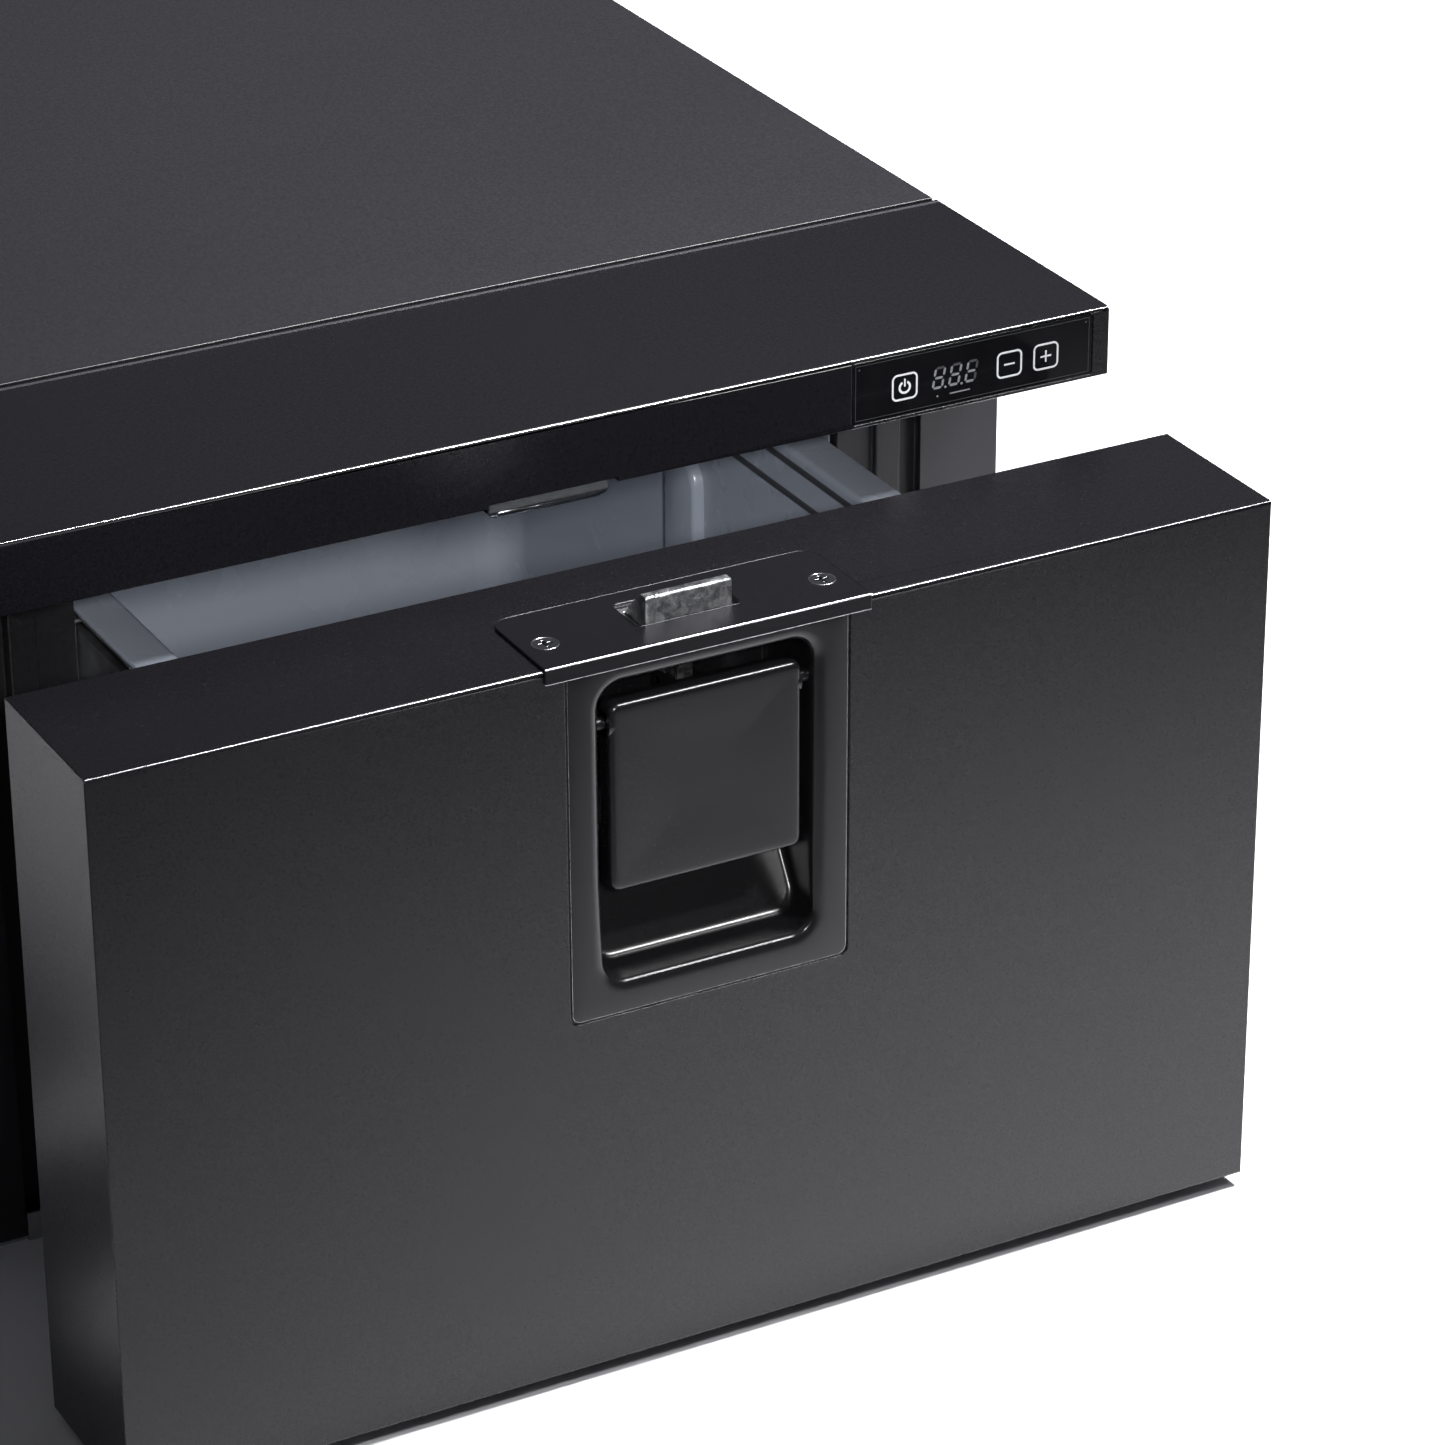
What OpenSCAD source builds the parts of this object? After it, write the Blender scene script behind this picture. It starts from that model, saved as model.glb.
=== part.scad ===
// Compressor drawer refrigerator for a vehicle or boat, with the drawer part open.
// Frame: +X right, +Y to the rear, +Z up. Origin: centre of the base pan's underside.

/* [Cabinet] */
// Width of the steel cabinet
body_w = 458; // [446:2:560]
// Thickness of the wrapper and panel sheet
sheet = 1; // [0.8:0.1:1.5]
// Depth of the cold space behind the sealing face
cavity_d = 400; // [330:5:480]
// Thickness of the insulated side walls
side_wall = 70.7; // [62:0.1:80]
// Height of the cold space's floor above the base
cavity_floor_z = 40; // [34:1:50]
// Wall of the moulded cavity liner
liner_t = 2.5; // [2:0.5:3.5]
// Foam behind the cold space
rear_foam = 27.5; // [20:0.5:30]

/* [Control housing] */
// Height of the control housing's front face
housing_h = 27.5; // [25:0.5:34]
// Depth of the housing's top from its front face to the seam
housing_d = 128; // [110:1:150]
// Gap between the drawer's top and the housing
housing_gap = 8.5; // [8.5:0.5:12]
// Sheet of the control housing
housing_t = 1.2; // [1:0.1:1.6]
// Length of the control overlay
overlay_l = 103.5; // [95:0.5:110]

/* [Drawer front] */
// Height of the drawer front
front_h = 284; // [270:1:345]
// Thickness of the drawer front
front_t = 70; // [60:1:84]
// Clearance under the drawer front
base_gap = 5; // [3:0.5:12]
// Gap between the closed drawer front and the cabinet
seal_gap = 6; // [5:0.5:8]
// How far the drawer stands open
rest_open = 112; // [0:1:200]

/* [Bin] */
// Wall of the bin
bin_t = 2.5; // [2:0.5:4]

/* [Latch] */
// Width of the latch plate
plate_w = 110; // [92:1:132]
// Height of the latch plate
plate_h = 137.2; // [130:0.2:165]
// Width of the latch bolt
bolt_w = 34; // [28:0.5:41]
// Height of the latch bolt above the drawer top
bolt_rise = 11; // [8:0.5:13]

/* [Cooling unit] */
// Diameter of the compressor shell
compressor_d = 104; // [86:1:125]
// Side of the square condenser fan
fan_side = 120; // [100:1:120]

/* [Hidden] */
$fn = 48;
eps = 0.01;

// Places that follow from the driving sizes
machine_d = compressor_d + 26;
body_d = cavity_d + liner_t + rear_foam + machine_d;
half_body = body_w / 2;
front_reveal = 2;
front_w = body_w + 2 * front_reveal;
half_front = front_w / 2;
front_y = -body_d / 2;
rear_y = body_d / 2;
top_z = base_gap + front_h;
housing_z = top_z + housing_gap;
housing_top = housing_z + housing_h;
body_h = housing_top + sheet;
housing_y = front_y - seal_gap - front_t;
seam_y = housing_y + housing_d;
open_y = housing_y - rest_open;
mid_open = rest_open / 2;

// Cold space
cavity_w = body_w - 2 * side_wall;
half_cavity = cavity_w / 2;
rim_drop = 35;
rim_z = top_z - rim_drop;
ceiling_gap = 8;
ceiling_z = rim_z + ceiling_gap;
cavity_rear = front_y + cavity_d;
foam_rear = cavity_rear + liner_t + rear_foam;
pan_t = 1.5;
wrap_gap = 1.2;
foam_top = housing_top - housing_t - 0.2;

// Sealing frame, in bands measured outwards from the opening
frame_back = 9;
frame_plate = 3;
band_in = 16;
band_rib = 11;
band_groove = 9;
band_sink = 3;
return_w = side_wall - band_in - band_rib - band_groove;
gasket_w = 12.5;
gasket_edge = 2.5;
gasket_air = 0.3;

// Slides: three nested channels with balls between their flanges
slide_h = 45.4;
slide_w = 12.7;
slide_len = cavity_d - 50;
slide_t = 1.2;
ball_d = 3;
ball_gap = 3.2;
rail_t = 1.5;
slide_air = 0.8;
rail_top = rim_z - bin_t;
slide_z = rail_top - rail_t - slide_air - slide_h / 2;
slide_in = 6;
cage_len = 120;
cage_t = 0.5;
cage_strip = 1;
balls = 5;
mid_h = slide_h - 2 * slide_t - 2 * ball_gap;
inner_h = mid_h - 2 * slide_t - 2 * ball_gap;
mid_u = 2.2;
mid_w = 8.3;
inner_u = 4.4;
rail_x = half_cavity - slide_w - rail_t;
bin_air = 2.1;
half_bin = rail_x - bin_air;
bin_y = front_t + 8;
bin_d = cavity_d - 30;
inner_t = 3.5;
bin_floor_air = 8;
rim_air = 1.3;

// Latch, in the drawer front's own frame: y from its face, z from its top
cover_t = 1.2;
cover_w = plate_w + 17.4;
cover_d = 42.5;
cover_lip = 4.9;
cover_r = 7;
cover_screw_x = cover_w / 2 - 9.5;
cover_screw_y = 17.6;
screw_head_d = 9.6;
screw_d = 5;
bolt_y = 14.8;
bolt_d = 16;
slot_w = bolt_w + 7;
slot_y = 14;
slot_d = 20;
plate_t = 1.5;
plate_top = 2.5;
plate_r = 3.5;
plate_gap = 0.7;
cup_w = plate_w - 26;
cup_top = 11.5;
cup_h = plate_h - 20.7;
cup_r = 9;
cup_d = 34;
paddle_y = 2;
paddle_top = 20;
paddle_h = cup_h - 43.5;
paddle_w = cup_w - 8;
paddle_d = 8;
paddle_wall = 2;
paddle_face = 2.5;
pivot_y = 7.5;
pivot_drop = 28.5;
pin_d = 5;
pin_air = 0.05;
crank_r = 19;
crank_t = 3;
tail_w = 6;
tail_end = 40;
paddle_swing = 32;
tail_y0 = pivot_y + crank_r * cos(paddle_swing) - pin_d / 2 - 3;
tail_y1 = pivot_y + crank_r + pin_d / 2 + 3;
seat_drop = 68;
seat_t = 2;
guide_t = 2;
spring_d = 9;
spring_wire = 1;

// Strike under the control housing
strike_w = bolt_w + 14;
strike_x = -3;
strike_in = 4;
strike_d = 10;
strike_t = 2;
strike_air = 0.7;
notch_w = strike_w + 4;
strike_bottom = top_z + cover_t + strike_air;
tray_z = top_z + cover_t + 13.3;
tray_t = 1.5;

// Controls
overlay_h = housing_h - 3;
overlay_t = 1.6;
overlay_air = 0.15;
overlay_x1 = half_front - 7.5;
overlay_x0 = overlay_x1 - overlay_l;
board_gap = 7;
board_t = 1.6;
power_x = overlay_x0 + 22.3;
display_x = overlay_x0 + 43.4;
minus_x = overlay_x0 + 67.4;
plus_x = overlay_x0 + 83.3;
key_z = top_z + 22;

// Machine compartment
comp_flange = 3;
comp_x = -half_body + 114;
comp_y = foam_rear + compressor_d / 2 + comp_flange + 10;
foot_x = compressor_d / 2 + 14;
stub_x = compressor_d / 2 + 13;
comp_z0 = 22;
comp_h = 104;
fan_x = half_body - fan_side / 2 - 59;
fan_z = fan_side / 2 + 35;
fan_t = 25;
cond_y = foam_rear + 16;
cond_d = 34;
end_t = 1.5;
fan_y = cond_y + cond_d + 3;
pipe_d = 8;
cap_d = 3;
pipe_y = cond_y + cond_d / 2;
drier_x = fan_x - fan_side / 2 - 35;
drier_d = 18;
drier_z0 = 62;
drier_h = 90;
evap_t = 1.6;
evap_gap = 8;
evap_y = cavity_rear - evap_gap - evap_t;
evap_w = cavity_w - 66.6;
evap_z0 = cavity_floor_z + 25;
evap_h = ceiling_z - cavity_floor_z - 52;
line_z = evap_z0 + evap_h - 30;
suction_x = comp_x + stub_x + 10;
turn_x = suction_x + 22;
cap_x = 60;
insert_x = half_body - 24;
insert_y = [front_y + 60, foam_rear - 10];
insert_d = 9;
insert_bore = 5;
insert_h = 11;
inlet_x = comp_x - 75;
inlet_z = body_h - 76;

// ---------- shared shapes ----------

// A box from its lowest to its highest corner
module span(low, high) {
    translate(low)
        cube(high - low);
}

// A rectangle with round corners, centred on the origin
module rounded_rect(w, h, r) {
    square([w - 2 * r, h], center = true);
    square([w, h - 2 * r], center = true);
    for (x = [-1, 1], y = [-1, 1])
        translate([x * (w / 2 - r), y * (h / 2 - r)])
            circle(r);
}

// A rounded plate that stands in the X-Z plane, from y0 to y1
module upright_plate(w, z0, z1, r, y0, y1) {
    translate([0, y1, (z0 + z1) / 2])
        rotate([90, 0, 0])
            linear_extrude(y1 - y0)
                rounded_rect(w, z1 - z0, r);
}

// A ring of constant band width around the cold space's opening
module opening_ring(inset, outset, y0, y1, r = 0.5) {
    mid_z = (cavity_floor_z + ceiling_z) / 2;
    open_h = ceiling_z - cavity_floor_z;
    translate([0, y1, mid_z])
        rotate([90, 0, 0])
            linear_extrude(y1 - y0)
                difference() {
                    rounded_rect(cavity_w + 2 * outset, open_h + 2 * outset, r);
                    rounded_rect(cavity_w + 2 * inset, open_h + 2 * inset, r);
                }
}

// A round rod from point a to point b
module rod(a, b, d) {
    v = b - a;
    len = norm(v);
    translate(a)
        rotate([0, acos(v[2] / len), atan2(v[1], v[0])])
            cylinder(h = len, d = d);
}

// A pipe through a list of points, with ball corners
module pipe(points, d) {
    for (i = [0 : len(points) - 2])
        rod(points[i], points[i + 1], d);
    for (i = [1 : 1 : len(points) - 2])
        translate(points[i])
            sphere(d = d);
}

// A cross recess for a screw head whose top is at the origin
module cross_recess(size, depth) {
    for (a = [0, 90])
        rotate([0, 0, a])
            translate([0, 0, -depth / 2 + eps])
                cube([size, size * 0.22, depth], center = true);
}

// A flush countersunk screw, head at the top
module flush_screw(head_d, shank_d, head_h, length) {
    difference() {
        union() {
            translate([0, 0, -head_h])
                cylinder(h = head_h, d1 = shank_d, d2 = head_d);
            translate([0, 0, -length])
                cylinder(h = length - head_h, d = shank_d);
        }
        cross_recess(head_d * 0.55, head_h * 0.7);
    }
}

// The matching conical hole through sheet
module flush_hole(head_d, shank_d, head_h, length) {
    translate([0, 0, -head_h])
        cylinder(h = head_h, d1 = shank_d, d2 = head_d);
    translate([0, 0, -length])
        cylinder(h = length, d = shank_d);
    cylinder(h = 1, d = head_d);
}

// Places its children on the drawer front: y from its face, z from its top
module at_drawer() {
    translate([0, open_y, top_z])
        children();
}

// ---------- cabinet ----------

// Flat steel base with low flanges
module base_pan() {
    color("dimgray")
        difference() {
            union() {
                span([-half_body + sheet, front_y, 0], [half_body - sheet, rear_y - sheet, pan_t]);
                for (s = [0, 1])
                    mirror([s, 0, 0])
                        span([half_body - sheet - wrap_gap, front_y + sheet, 0],
                             [half_body - sheet, rear_y - 2 * sheet, 15]);
                span([-half_body + return_w, front_y - pan_t, 0],
                     [half_body - return_w, front_y, 12]);
            }
            for (x = [-1, 1], y = insert_y)
                translate([x * insert_x, y, -1])
                    cylinder(h = pan_t + 2, d = insert_d);
        }
}

// Four threaded inserts for the hold-down bolts
module threaded_inserts() {
    color("silver")
        for (x = [-1, 1], y = insert_y)
            translate([x * insert_x, y, 0])
                difference() {
                    cylinder(h = insert_h, d = insert_d);
                    translate([0, 0, -1])
                        cylinder(h = insert_h + 2, d = insert_bore);
                }
}

// Folded steel wrapper: top, two sides and their returns
module outer_wrapper() {
    side_top = housing_top - housing_t;
    color([0.16, 0.16, 0.17])
        union() {
            span([-half_body, seam_y, housing_top], [half_body, rear_y - sheet, body_h]);
            for (s = [0, 1])
                mirror([s, 0, 0]) {
                    span([half_body - sheet, front_y, 0], [half_body, rear_y - sheet, side_top]);
                    span([half_body - sheet, seam_y, side_top - 1],
                         [half_body, rear_y - sheet, body_h]);
                    span([half_body - return_w, front_y, pan_t],
                         [half_body, front_y + sheet, housing_z - 1]);
                    span([half_body - 14, rear_y - 2 * sheet, pan_t],
                         [half_body, rear_y - sheet, body_h - 3]);
                }
        }
}

// Back panel with air slots behind the fan and the compressor
module rear_panel() {
    slot_pitch = (fan_side - 21) / 9;
    slot_h = 4.5;
    color([0.16, 0.16, 0.17])
        difference() {
            span([-half_body, rear_y - sheet, pan_t], [half_body, rear_y, body_h]);
            for (i = [0 : 9])
                translate([fan_x, rear_y + 1, 45 + i * slot_pitch])
                    rotate([90, 0, 0])
                        linear_extrude(4)
                            rounded_rect(fan_side - 14, slot_h, slot_h / 2 - 0.01);
            for (i = [0 : 9])
                translate([comp_x, rear_y + 1, 45 + i * slot_pitch])
                    rotate([90, 0, 0])
                        linear_extrude(4)
                            rounded_rect(compressor_d, slot_h, slot_h / 2 - 0.01);
            translate([inlet_x, rear_y + 1, inlet_z])
                rotate([90, 0, 0])
                    linear_extrude(4)
                        rounded_rect(26, 16, 2);
            for (x = [-1, 1], z = rear_screw_z())
                translate([x * (half_body - 8), rear_y + 1, z])
                    rotate([90, 0, 0])
                        cylinder(h = 4, d = 4);
        }
}

// Heights of the back panel's screws
function rear_screw_z() = [for (i = [0 : 3]) 20 + i * (body_h - 40) / 3];

// Low pan-head screws of the back panel
module rear_screws() {
    color("black")
        for (x = [-1, 1], z = rear_screw_z())
            translate([x * (half_body - 8), rear_y - sheet, z])
                rotate([-90, 0, 0])
                    difference() {
                        union() {
                            translate([0, 0, sheet])
                                cylinder(h = 1.8, d = 8);
                            cylinder(h = sheet + eps, d = 4);
                        }
                        translate([0, 0, sheet + 1.8])
                            cross_recess(4.4, 1.2);
                    }
}

// Clear box of the cold space, grown by a wall
module cavity_box(wall, y0, y1) {
    span([-half_cavity - wall, y0, cavity_floor_z - wall],
         [half_cavity + wall, y1 + wall, ceiling_z + wall]);
}

// Holes for the two refrigerant lines through the rear foam
module line_holes(y0, y1) {
    for (p = [[suction_x, pipe_d], [cap_x, cap_d]])
        translate([p[0], y1, line_z])
            rotate([90, 0, 0])
                cylinder(h = y1 - y0, d = p[1] + 2);
}

// Foamed insulation around the cold space
module body_insulation() {
    half_foam = half_body - sheet - wrap_gap;
    color("khaki")
        difference() {
            span([-half_foam, front_y + frame_back, pan_t], [half_foam, foam_rear, foam_top]);
            cavity_box(liner_t, front_y, cavity_rear);
            line_holes(cavity_rear, foam_rear + 1);
            slide_screw_places()
                translate([0, 0, -12])
                    cylinder(h = 14, d = 4);
            for (x = [-1, 1], y = insert_y)
                translate([x * insert_x, y, 0])
                    cylinder(h = insert_h + 1, d = insert_d + 3);
        }
}

// Moulded liner of the cold space, open at the front
module cavity_liner() {
    color([0.55, 0.6, 0.66])
        difference() {
            cavity_box(liner_t, front_y + frame_back, cavity_rear);
            cavity_box(0, front_y, cavity_rear);
            line_holes(cavity_rear - 1, cavity_rear + liner_t + 1);
            slide_screw_places()
                translate([0, 0, -12])
                    cylinder(h = 14, d = 4);
        }
}

// Plastic sealing frame around the opening
module front_frame() {
    plate_y0 = front_y + frame_back - frame_plate;
    plate_y1 = front_y + frame_back;
    land = band_in + band_rib + band_groove + 1.2;
    half_plate = half_body - sheet - wrap_gap;
    color([0.1, 0.1, 0.11])
        union() {
            difference() {
                span([-half_plate, plate_y0, pan_t + 0.5], [half_plate, plate_y1, foam_top]);
                cavity_box(0, front_y, front_y + cavity_d);
            }
            opening_ring(0, band_in + eps, front_y + band_sink, plate_y0 + eps);
            opening_ring(band_in, band_in + band_rib, front_y, plate_y0 + eps, 1.5);
            for (s = [0, 1])
                mirror([s, 0, 0])
                    span([half_cavity + land, front_y + sheet, pan_t + 0.5],
                         [half_plate, plate_y0 + eps, foam_top]);
            span([-half_plate, front_y + sheet, ceiling_z + land],
                 [half_plate, plate_y0 + eps, foam_top]);
        }
}

// Outline of the folded housing seen from the side: y across, z up
module housing_outline(wall) {
    bend = 2 - wall;
    difference() {
        translate([housing_y + wall, housing_z + wall])
            square([seam_y - housing_y - wall, housing_h - 2 * wall]);
        translate([housing_y + wall - eps, housing_top - wall - bend + eps])
            square([bend, bend]);
    }
    translate([housing_y + wall + bend, housing_top - wall - bend])
        circle(bend);
}

// Folded steel control housing that overhangs the drawer
module control_housing() {
    lip_d = 10;
    side_lip = 8;
    color([0.05, 0.05, 0.06])
        union() {
            difference() {
                translate([-half_front, 0, 0])
                    rotate([90, 0, 90])
                        linear_extrude(front_w)
                            housing_outline(0);
                translate([-half_front + housing_t, 0, 0])
                    rotate([90, 0, 90])
                        linear_extrude(front_w - 2 * housing_t)
                            housing_outline(housing_t);
                span([-half_front + side_lip, housing_y + lip_d, housing_z - 1],
                     [half_front - side_lip, seam_y + 1, housing_z + housing_t + 1]);
                span([-half_front + housing_t, front_y - 1, housing_z - 1],
                     [half_front - housing_t, seam_y + 1, housing_top - housing_t]);
                span([strike_x - notch_w / 2, housing_y - 1, housing_z - 1],
                     [strike_x + notch_w / 2, housing_y + lip_d + 1, housing_z + 1.5]);
                overlay_block(overlay_air, housing_y - 1, housing_y + housing_t + 1);
            }
            span([-half_body + sheet + 0.2, seam_y - eps, housing_top - housing_t],
                 [half_body - sheet - 0.2, seam_y + 12, housing_top]);
        }
}

// The overlay's outline, grown by a clearance
module overlay_block(air, y0, y1) {
    mid_z = housing_z + housing_h / 2;
    translate([(overlay_x0 + overlay_x1) / 2, 0, 0])
        upright_plate(overlay_l + 2 * air, mid_z - overlay_h / 2 - air, mid_z + overlay_h / 2 + air,
                      1, y0, y1);
}

// Plastic tray that closes the housing from below
module control_tray() {
    color([0.08, 0.08, 0.09])
        difference() {
            span([-half_front + housing_t + 0.3, housing_y + housing_t + 0.2, tray_z],
                 [half_front - housing_t - 0.3, front_y - 0.3, tray_z + tray_t]);
            strike_screw_places()
                translate([0, 0, -8])
                    cylinder(h = 8.1, d = 3.5);
            span([overlay_x0 - 4, housing_y, tray_z - 1],
                 [overlay_x1 + 4, housing_y + board_gap + 4, tray_z + tray_t + 1]);
        }
}

// Glossy touch overlay
module control_overlay() {
    color([0.02, 0.02, 0.03])
        overlay_block(0, housing_y + 0.1, housing_y + 0.1 + overlay_t);
}

// Three-digit display module
module led_display() {
    color([0.2, 0.2, 0.22])
        span([display_x - 13, housing_y + 0.1 + overlay_t, key_z - 7],
             [display_x + 13, housing_y + board_gap, key_z + 7]);
}

// Circuit board behind the overlay
module control_board() {
    color("darkgreen")
        span([overlay_x0 + 8, housing_y + board_gap, key_z - 10],
             [overlay_x1 - 2, housing_y + board_gap + board_t, key_z + 10]);
}

// Conductive springs of the three touch keys
module touch_springs() {
    color("silver")
        for (x = [power_x, minus_x, plus_x])
            translate([x, housing_y + board_gap, key_z])
                rotate([90, 0, 0])
                    difference() {
                        cylinder(h = board_gap - 0.1 - overlay_t, d = 7);
                        translate([0, 0, -1])
                            cylinder(h = board_gap, d = 5.4);
                    }
}

// Side outline of the strike: a U with a rear flange
module strike_outline() {
    leg_top = tray_z - strike_bottom;
    r = 3;
    difference() {
        union() {
            translate([0, r])
                square([strike_d, leg_top - r]);
            translate([r, 0])
                square([strike_d - 2 * r, r + eps]);
            for (y = [r, strike_d - r])
                translate([y, r])
                    circle(r);
        }
        translate([strike_t, strike_t + 1])
            square([strike_d - 2 * strike_t, leg_top]);
        translate([strike_t + 1, strike_t])
            square([strike_d - 2 * strike_t - 2, 1 + eps]);
        for (y = [strike_t + 1, strike_d - strike_t - 1])
            translate([y, strike_t + 1])
                circle(1);
    }
    translate([strike_d - eps, leg_top - strike_t])
        square([20, strike_t]);
}

// Chromed strike strap that the bolt catches behind
module strike() {
    color("silver")
        difference() {
            intersection() {
                translate([strike_x - strike_w / 2, housing_y + strike_in, strike_bottom])
                    rotate([90, 0, 90])
                        linear_extrude(strike_w)
                            strike_outline();
                translate([strike_x, 0, 0])
                    upright_plate(strike_w, strike_bottom, tray_z + 8, 3.5,
                                  housing_y, housing_y + 60);
            }
            strike_screw_places()
                flush_hole(6.5, 3.5, 1.6, 8);
        }
}

// Puts a screw, head down, at each of the strike's holes
module strike_screw_places() {
    for (x = [-1, 1])
        translate([strike_x + x * 15, housing_y + strike_in + strike_d + 12, tray_z - strike_t])
            rotate([180, 0, 0])
                children();
}

// The strike's two flush screws
module strike_screws() {
    color("gray")
        strike_screw_places()
            flush_screw(6.5, 3.5, 1.6, strike_t + tray_t);
}

// Slim lamp under the cold space's ceiling
module interior_light() {
    color("white")
        span([-22, front_y + 30, ceiling_z - 4], [22, front_y + 44, ceiling_z]);
}

// ---------- slides ----------

// A channel in slide coordinates: u from the wall inwards, z from the centre
module channel(length, u, w, h, t, lip, web_inside) {
    web_u = web_inside ? u + w - t : u;
    lip_u = web_inside ? u : u + w - t;
    span([web_u, 0, -h / 2], [web_u + t, length, h / 2]);
    for (s = [0, 1])
        mirror([0, 0, s]) {
            span([u, 0, h / 2 - t], [u + w, length, h / 2]);
            if (lip > 0)
                span([lip_u, 0, h / 2 - t - lip], [lip_u + t, length, h / 2 - t + eps]);
        }
}

// Places slide coordinates on one side wall, moved forward by shift
module at_slide(side, shift) {
    mirror([side > 0 ? 1 : 0, 0, 0])
        translate([-half_cavity, front_y + slide_in - shift, slide_z])
            children();
}

// Distances of the outer channel's screws from its front end
function slide_screw_y() = [30, slide_len / 2, slide_len - 30];

// Puts a screw, head inwards, at each hole of both outer channels
module slide_screw_places() {
    for (side = [-1, 1])
        at_slide(side, 0)
            for (y = slide_screw_y())
                translate([slide_t, y, 0])
                    rotate([0, 90, 0])
                        children();
}

// Fixed channel on the liner's wall
module slide_outer(side) {
    color("lightsteelblue")
        difference() {
            at_slide(side, 0)
                channel(slide_len, 0, 9.5, slide_h, slide_t, 1.2, false);
            slide_screw_places()
                flush_hole(6.5, 4, 1, 6);
        }
}
module slide_outer_left() { slide_outer(-1); }
module slide_outer_right() { slide_outer(1); }

// Flush screws that hold the outer channels
module slide_outer_screws() {
    color("gray")
        slide_screw_places()
            flush_screw(6.5, 4, 1, 12);
}

// Middle channel, which runs at half the drawer's travel
module slide_mid(side) {
    color("lightsteelblue")
        at_slide(side, mid_open)
            channel(slide_len, mid_u, mid_w, mid_h, slide_t, 0.8, false);
}
module slide_mid_left() { slide_mid(-1); }
module slide_mid_right() { slide_mid(1); }

// Inner channel, fixed to the bin rail
module slide_inner(side) {
    color("lightsteelblue")
        difference() {
            at_slide(side, rest_open)
                channel(slide_len, inner_u, slide_w - inner_u, inner_h, slide_t, 0, true);
            rail_rivet_places()
                translate([0, 0, -10])
                    cylinder(h = 20, d = 4);
        }
}
module slide_inner_left() { slide_inner(-1); }
module slide_inner_right() { slide_inner(1); }

// A ball cage: a thin web with two strips, and its balls
module ball_cage(side, shift, web_u, strip_w, ball_u, ball_z) {
    first = (slide_len - cage_len) / 2;
    pitch = (cage_len - 16) / (balls - 1);
    color("goldenrod")
        at_slide(side, shift)
            translate([0, first, 0]) {
                difference() {
                    union() {
                        span([web_u, 0, -ball_z], [web_u + cage_t, cage_len, ball_z]);
                        for (s = [-1, 1])
                            translate([web_u, 0, s * ball_z - cage_strip / 2])
                                cube([strip_w, cage_len, cage_strip]);
                    }
                    for (s = [-1, 1], i = [0 : balls - 1])
                        translate([ball_u, 8 + i * pitch, s * ball_z])
                            cylinder(h = ball_gap, d = ball_d + 0.2, center = true);
                }
                for (s = [-1, 1], i = [0 : balls - 1])
                    translate([ball_u, 8 + i * pitch, s * ball_z])
                        sphere(d = ball_d);
            }
}

// Cage between the outer and the middle channel, at a quarter of the travel
module cage_outer(side) {
    ball_cage(side, rest_open / 4, slide_t + 0.25, 6, 5.4, (mid_h + ball_gap) / 2);
}
module cage_outer_left() { cage_outer(-1); }
module cage_outer_right() { cage_outer(1); }

// Cage between the middle and the inner channel, at three quarters of the travel
module cage_inner(side) {
    ball_cage(side, rest_open * 3 / 4, mid_u + slide_t + 0.25, 5.4, 7, (inner_h + ball_gap) / 2);
}
module cage_inner_left() { cage_inner(-1); }
module cage_inner_right() { cage_inner(1); }

// ---------- cooling unit ----------

// Cold plate with its tube at the back of the cold space
module evaporator() {
    runs = 6;
    gap = (evap_h - 40) / (runs - 1);
    color("gainsboro")
        union() {
            span([-evap_w / 2, evap_y, evap_z0], [evap_w / 2, evap_y + evap_t, evap_z0 + evap_h]);
            for (i = [0 : runs - 1])
                rod([-evap_w / 2 + 15, evap_y + evap_t, evap_z0 + 20 + i * gap],
                    [evap_w / 2 - 15, evap_y + evap_t, evap_z0 + 20 + i * gap], 6);
            for (x = [-1, 1], z = [evap_z0 + 8, evap_z0 + evap_h - 8])
                rod([x * (evap_w / 2 - 8), evap_y + evap_t - eps, z],
                    [x * (evap_w / 2 - 8), cavity_rear, z], 8);
            for (p = [[suction_x, pipe_d], [cap_x, cap_d]])
                rod([p[0], evap_y + evap_t - eps, line_z], [p[0], cavity_rear - 2, line_z], p[1]);
        }
}

// Half outline of the compressor shell: radius across, z up
module shell_outline() {
    r = compressor_d / 2;
    dome = 24;
    intersection() {
        union() {
            translate([0, dome])
                square([r, comp_h - 2 * dome]);
            for (z = [dome, comp_h - dome]) {
                translate([r - dome, z])
                    circle(dome);
                translate([0, z - dome])
                    square([r - dome, 2 * dome]);
            }
            translate([0, comp_h * 0.52])
                square([r + comp_flange, 4]);
        }
        square([r + comp_flange, comp_h]);
    }
}

// Hermetic compressor with its feet and stubs
module compressor() {
    color([0.08, 0.08, 0.08])
        translate([comp_x, comp_y, comp_z0])
            difference() {
                union() {
                    rotate_extrude()
                        shell_outline();
                    span([-foot_x, -28, -3], [foot_x, 28, 2]);
                    rod([0, 0, comp_h * 0.72], [stub_x, 0, comp_h * 0.72], 7);
                    rod([0, -15, comp_h * 0.84], [stub_x, -15, comp_h * 0.84], 9);
                }
                for (x = [-1, 1], y = [-1, 1])
                    translate([x * (foot_x - 9), y * 18, -10])
                        cylinder(h = 20, d = 8);
            }
}

// Sheet that carries the compressor
module compressor_plate() {
    color("silver")
        span([comp_x - foot_x - 12, comp_y - 45, pan_t], [comp_x + foot_x + 12, comp_y + 45, 2 * pan_t]);
}

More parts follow.
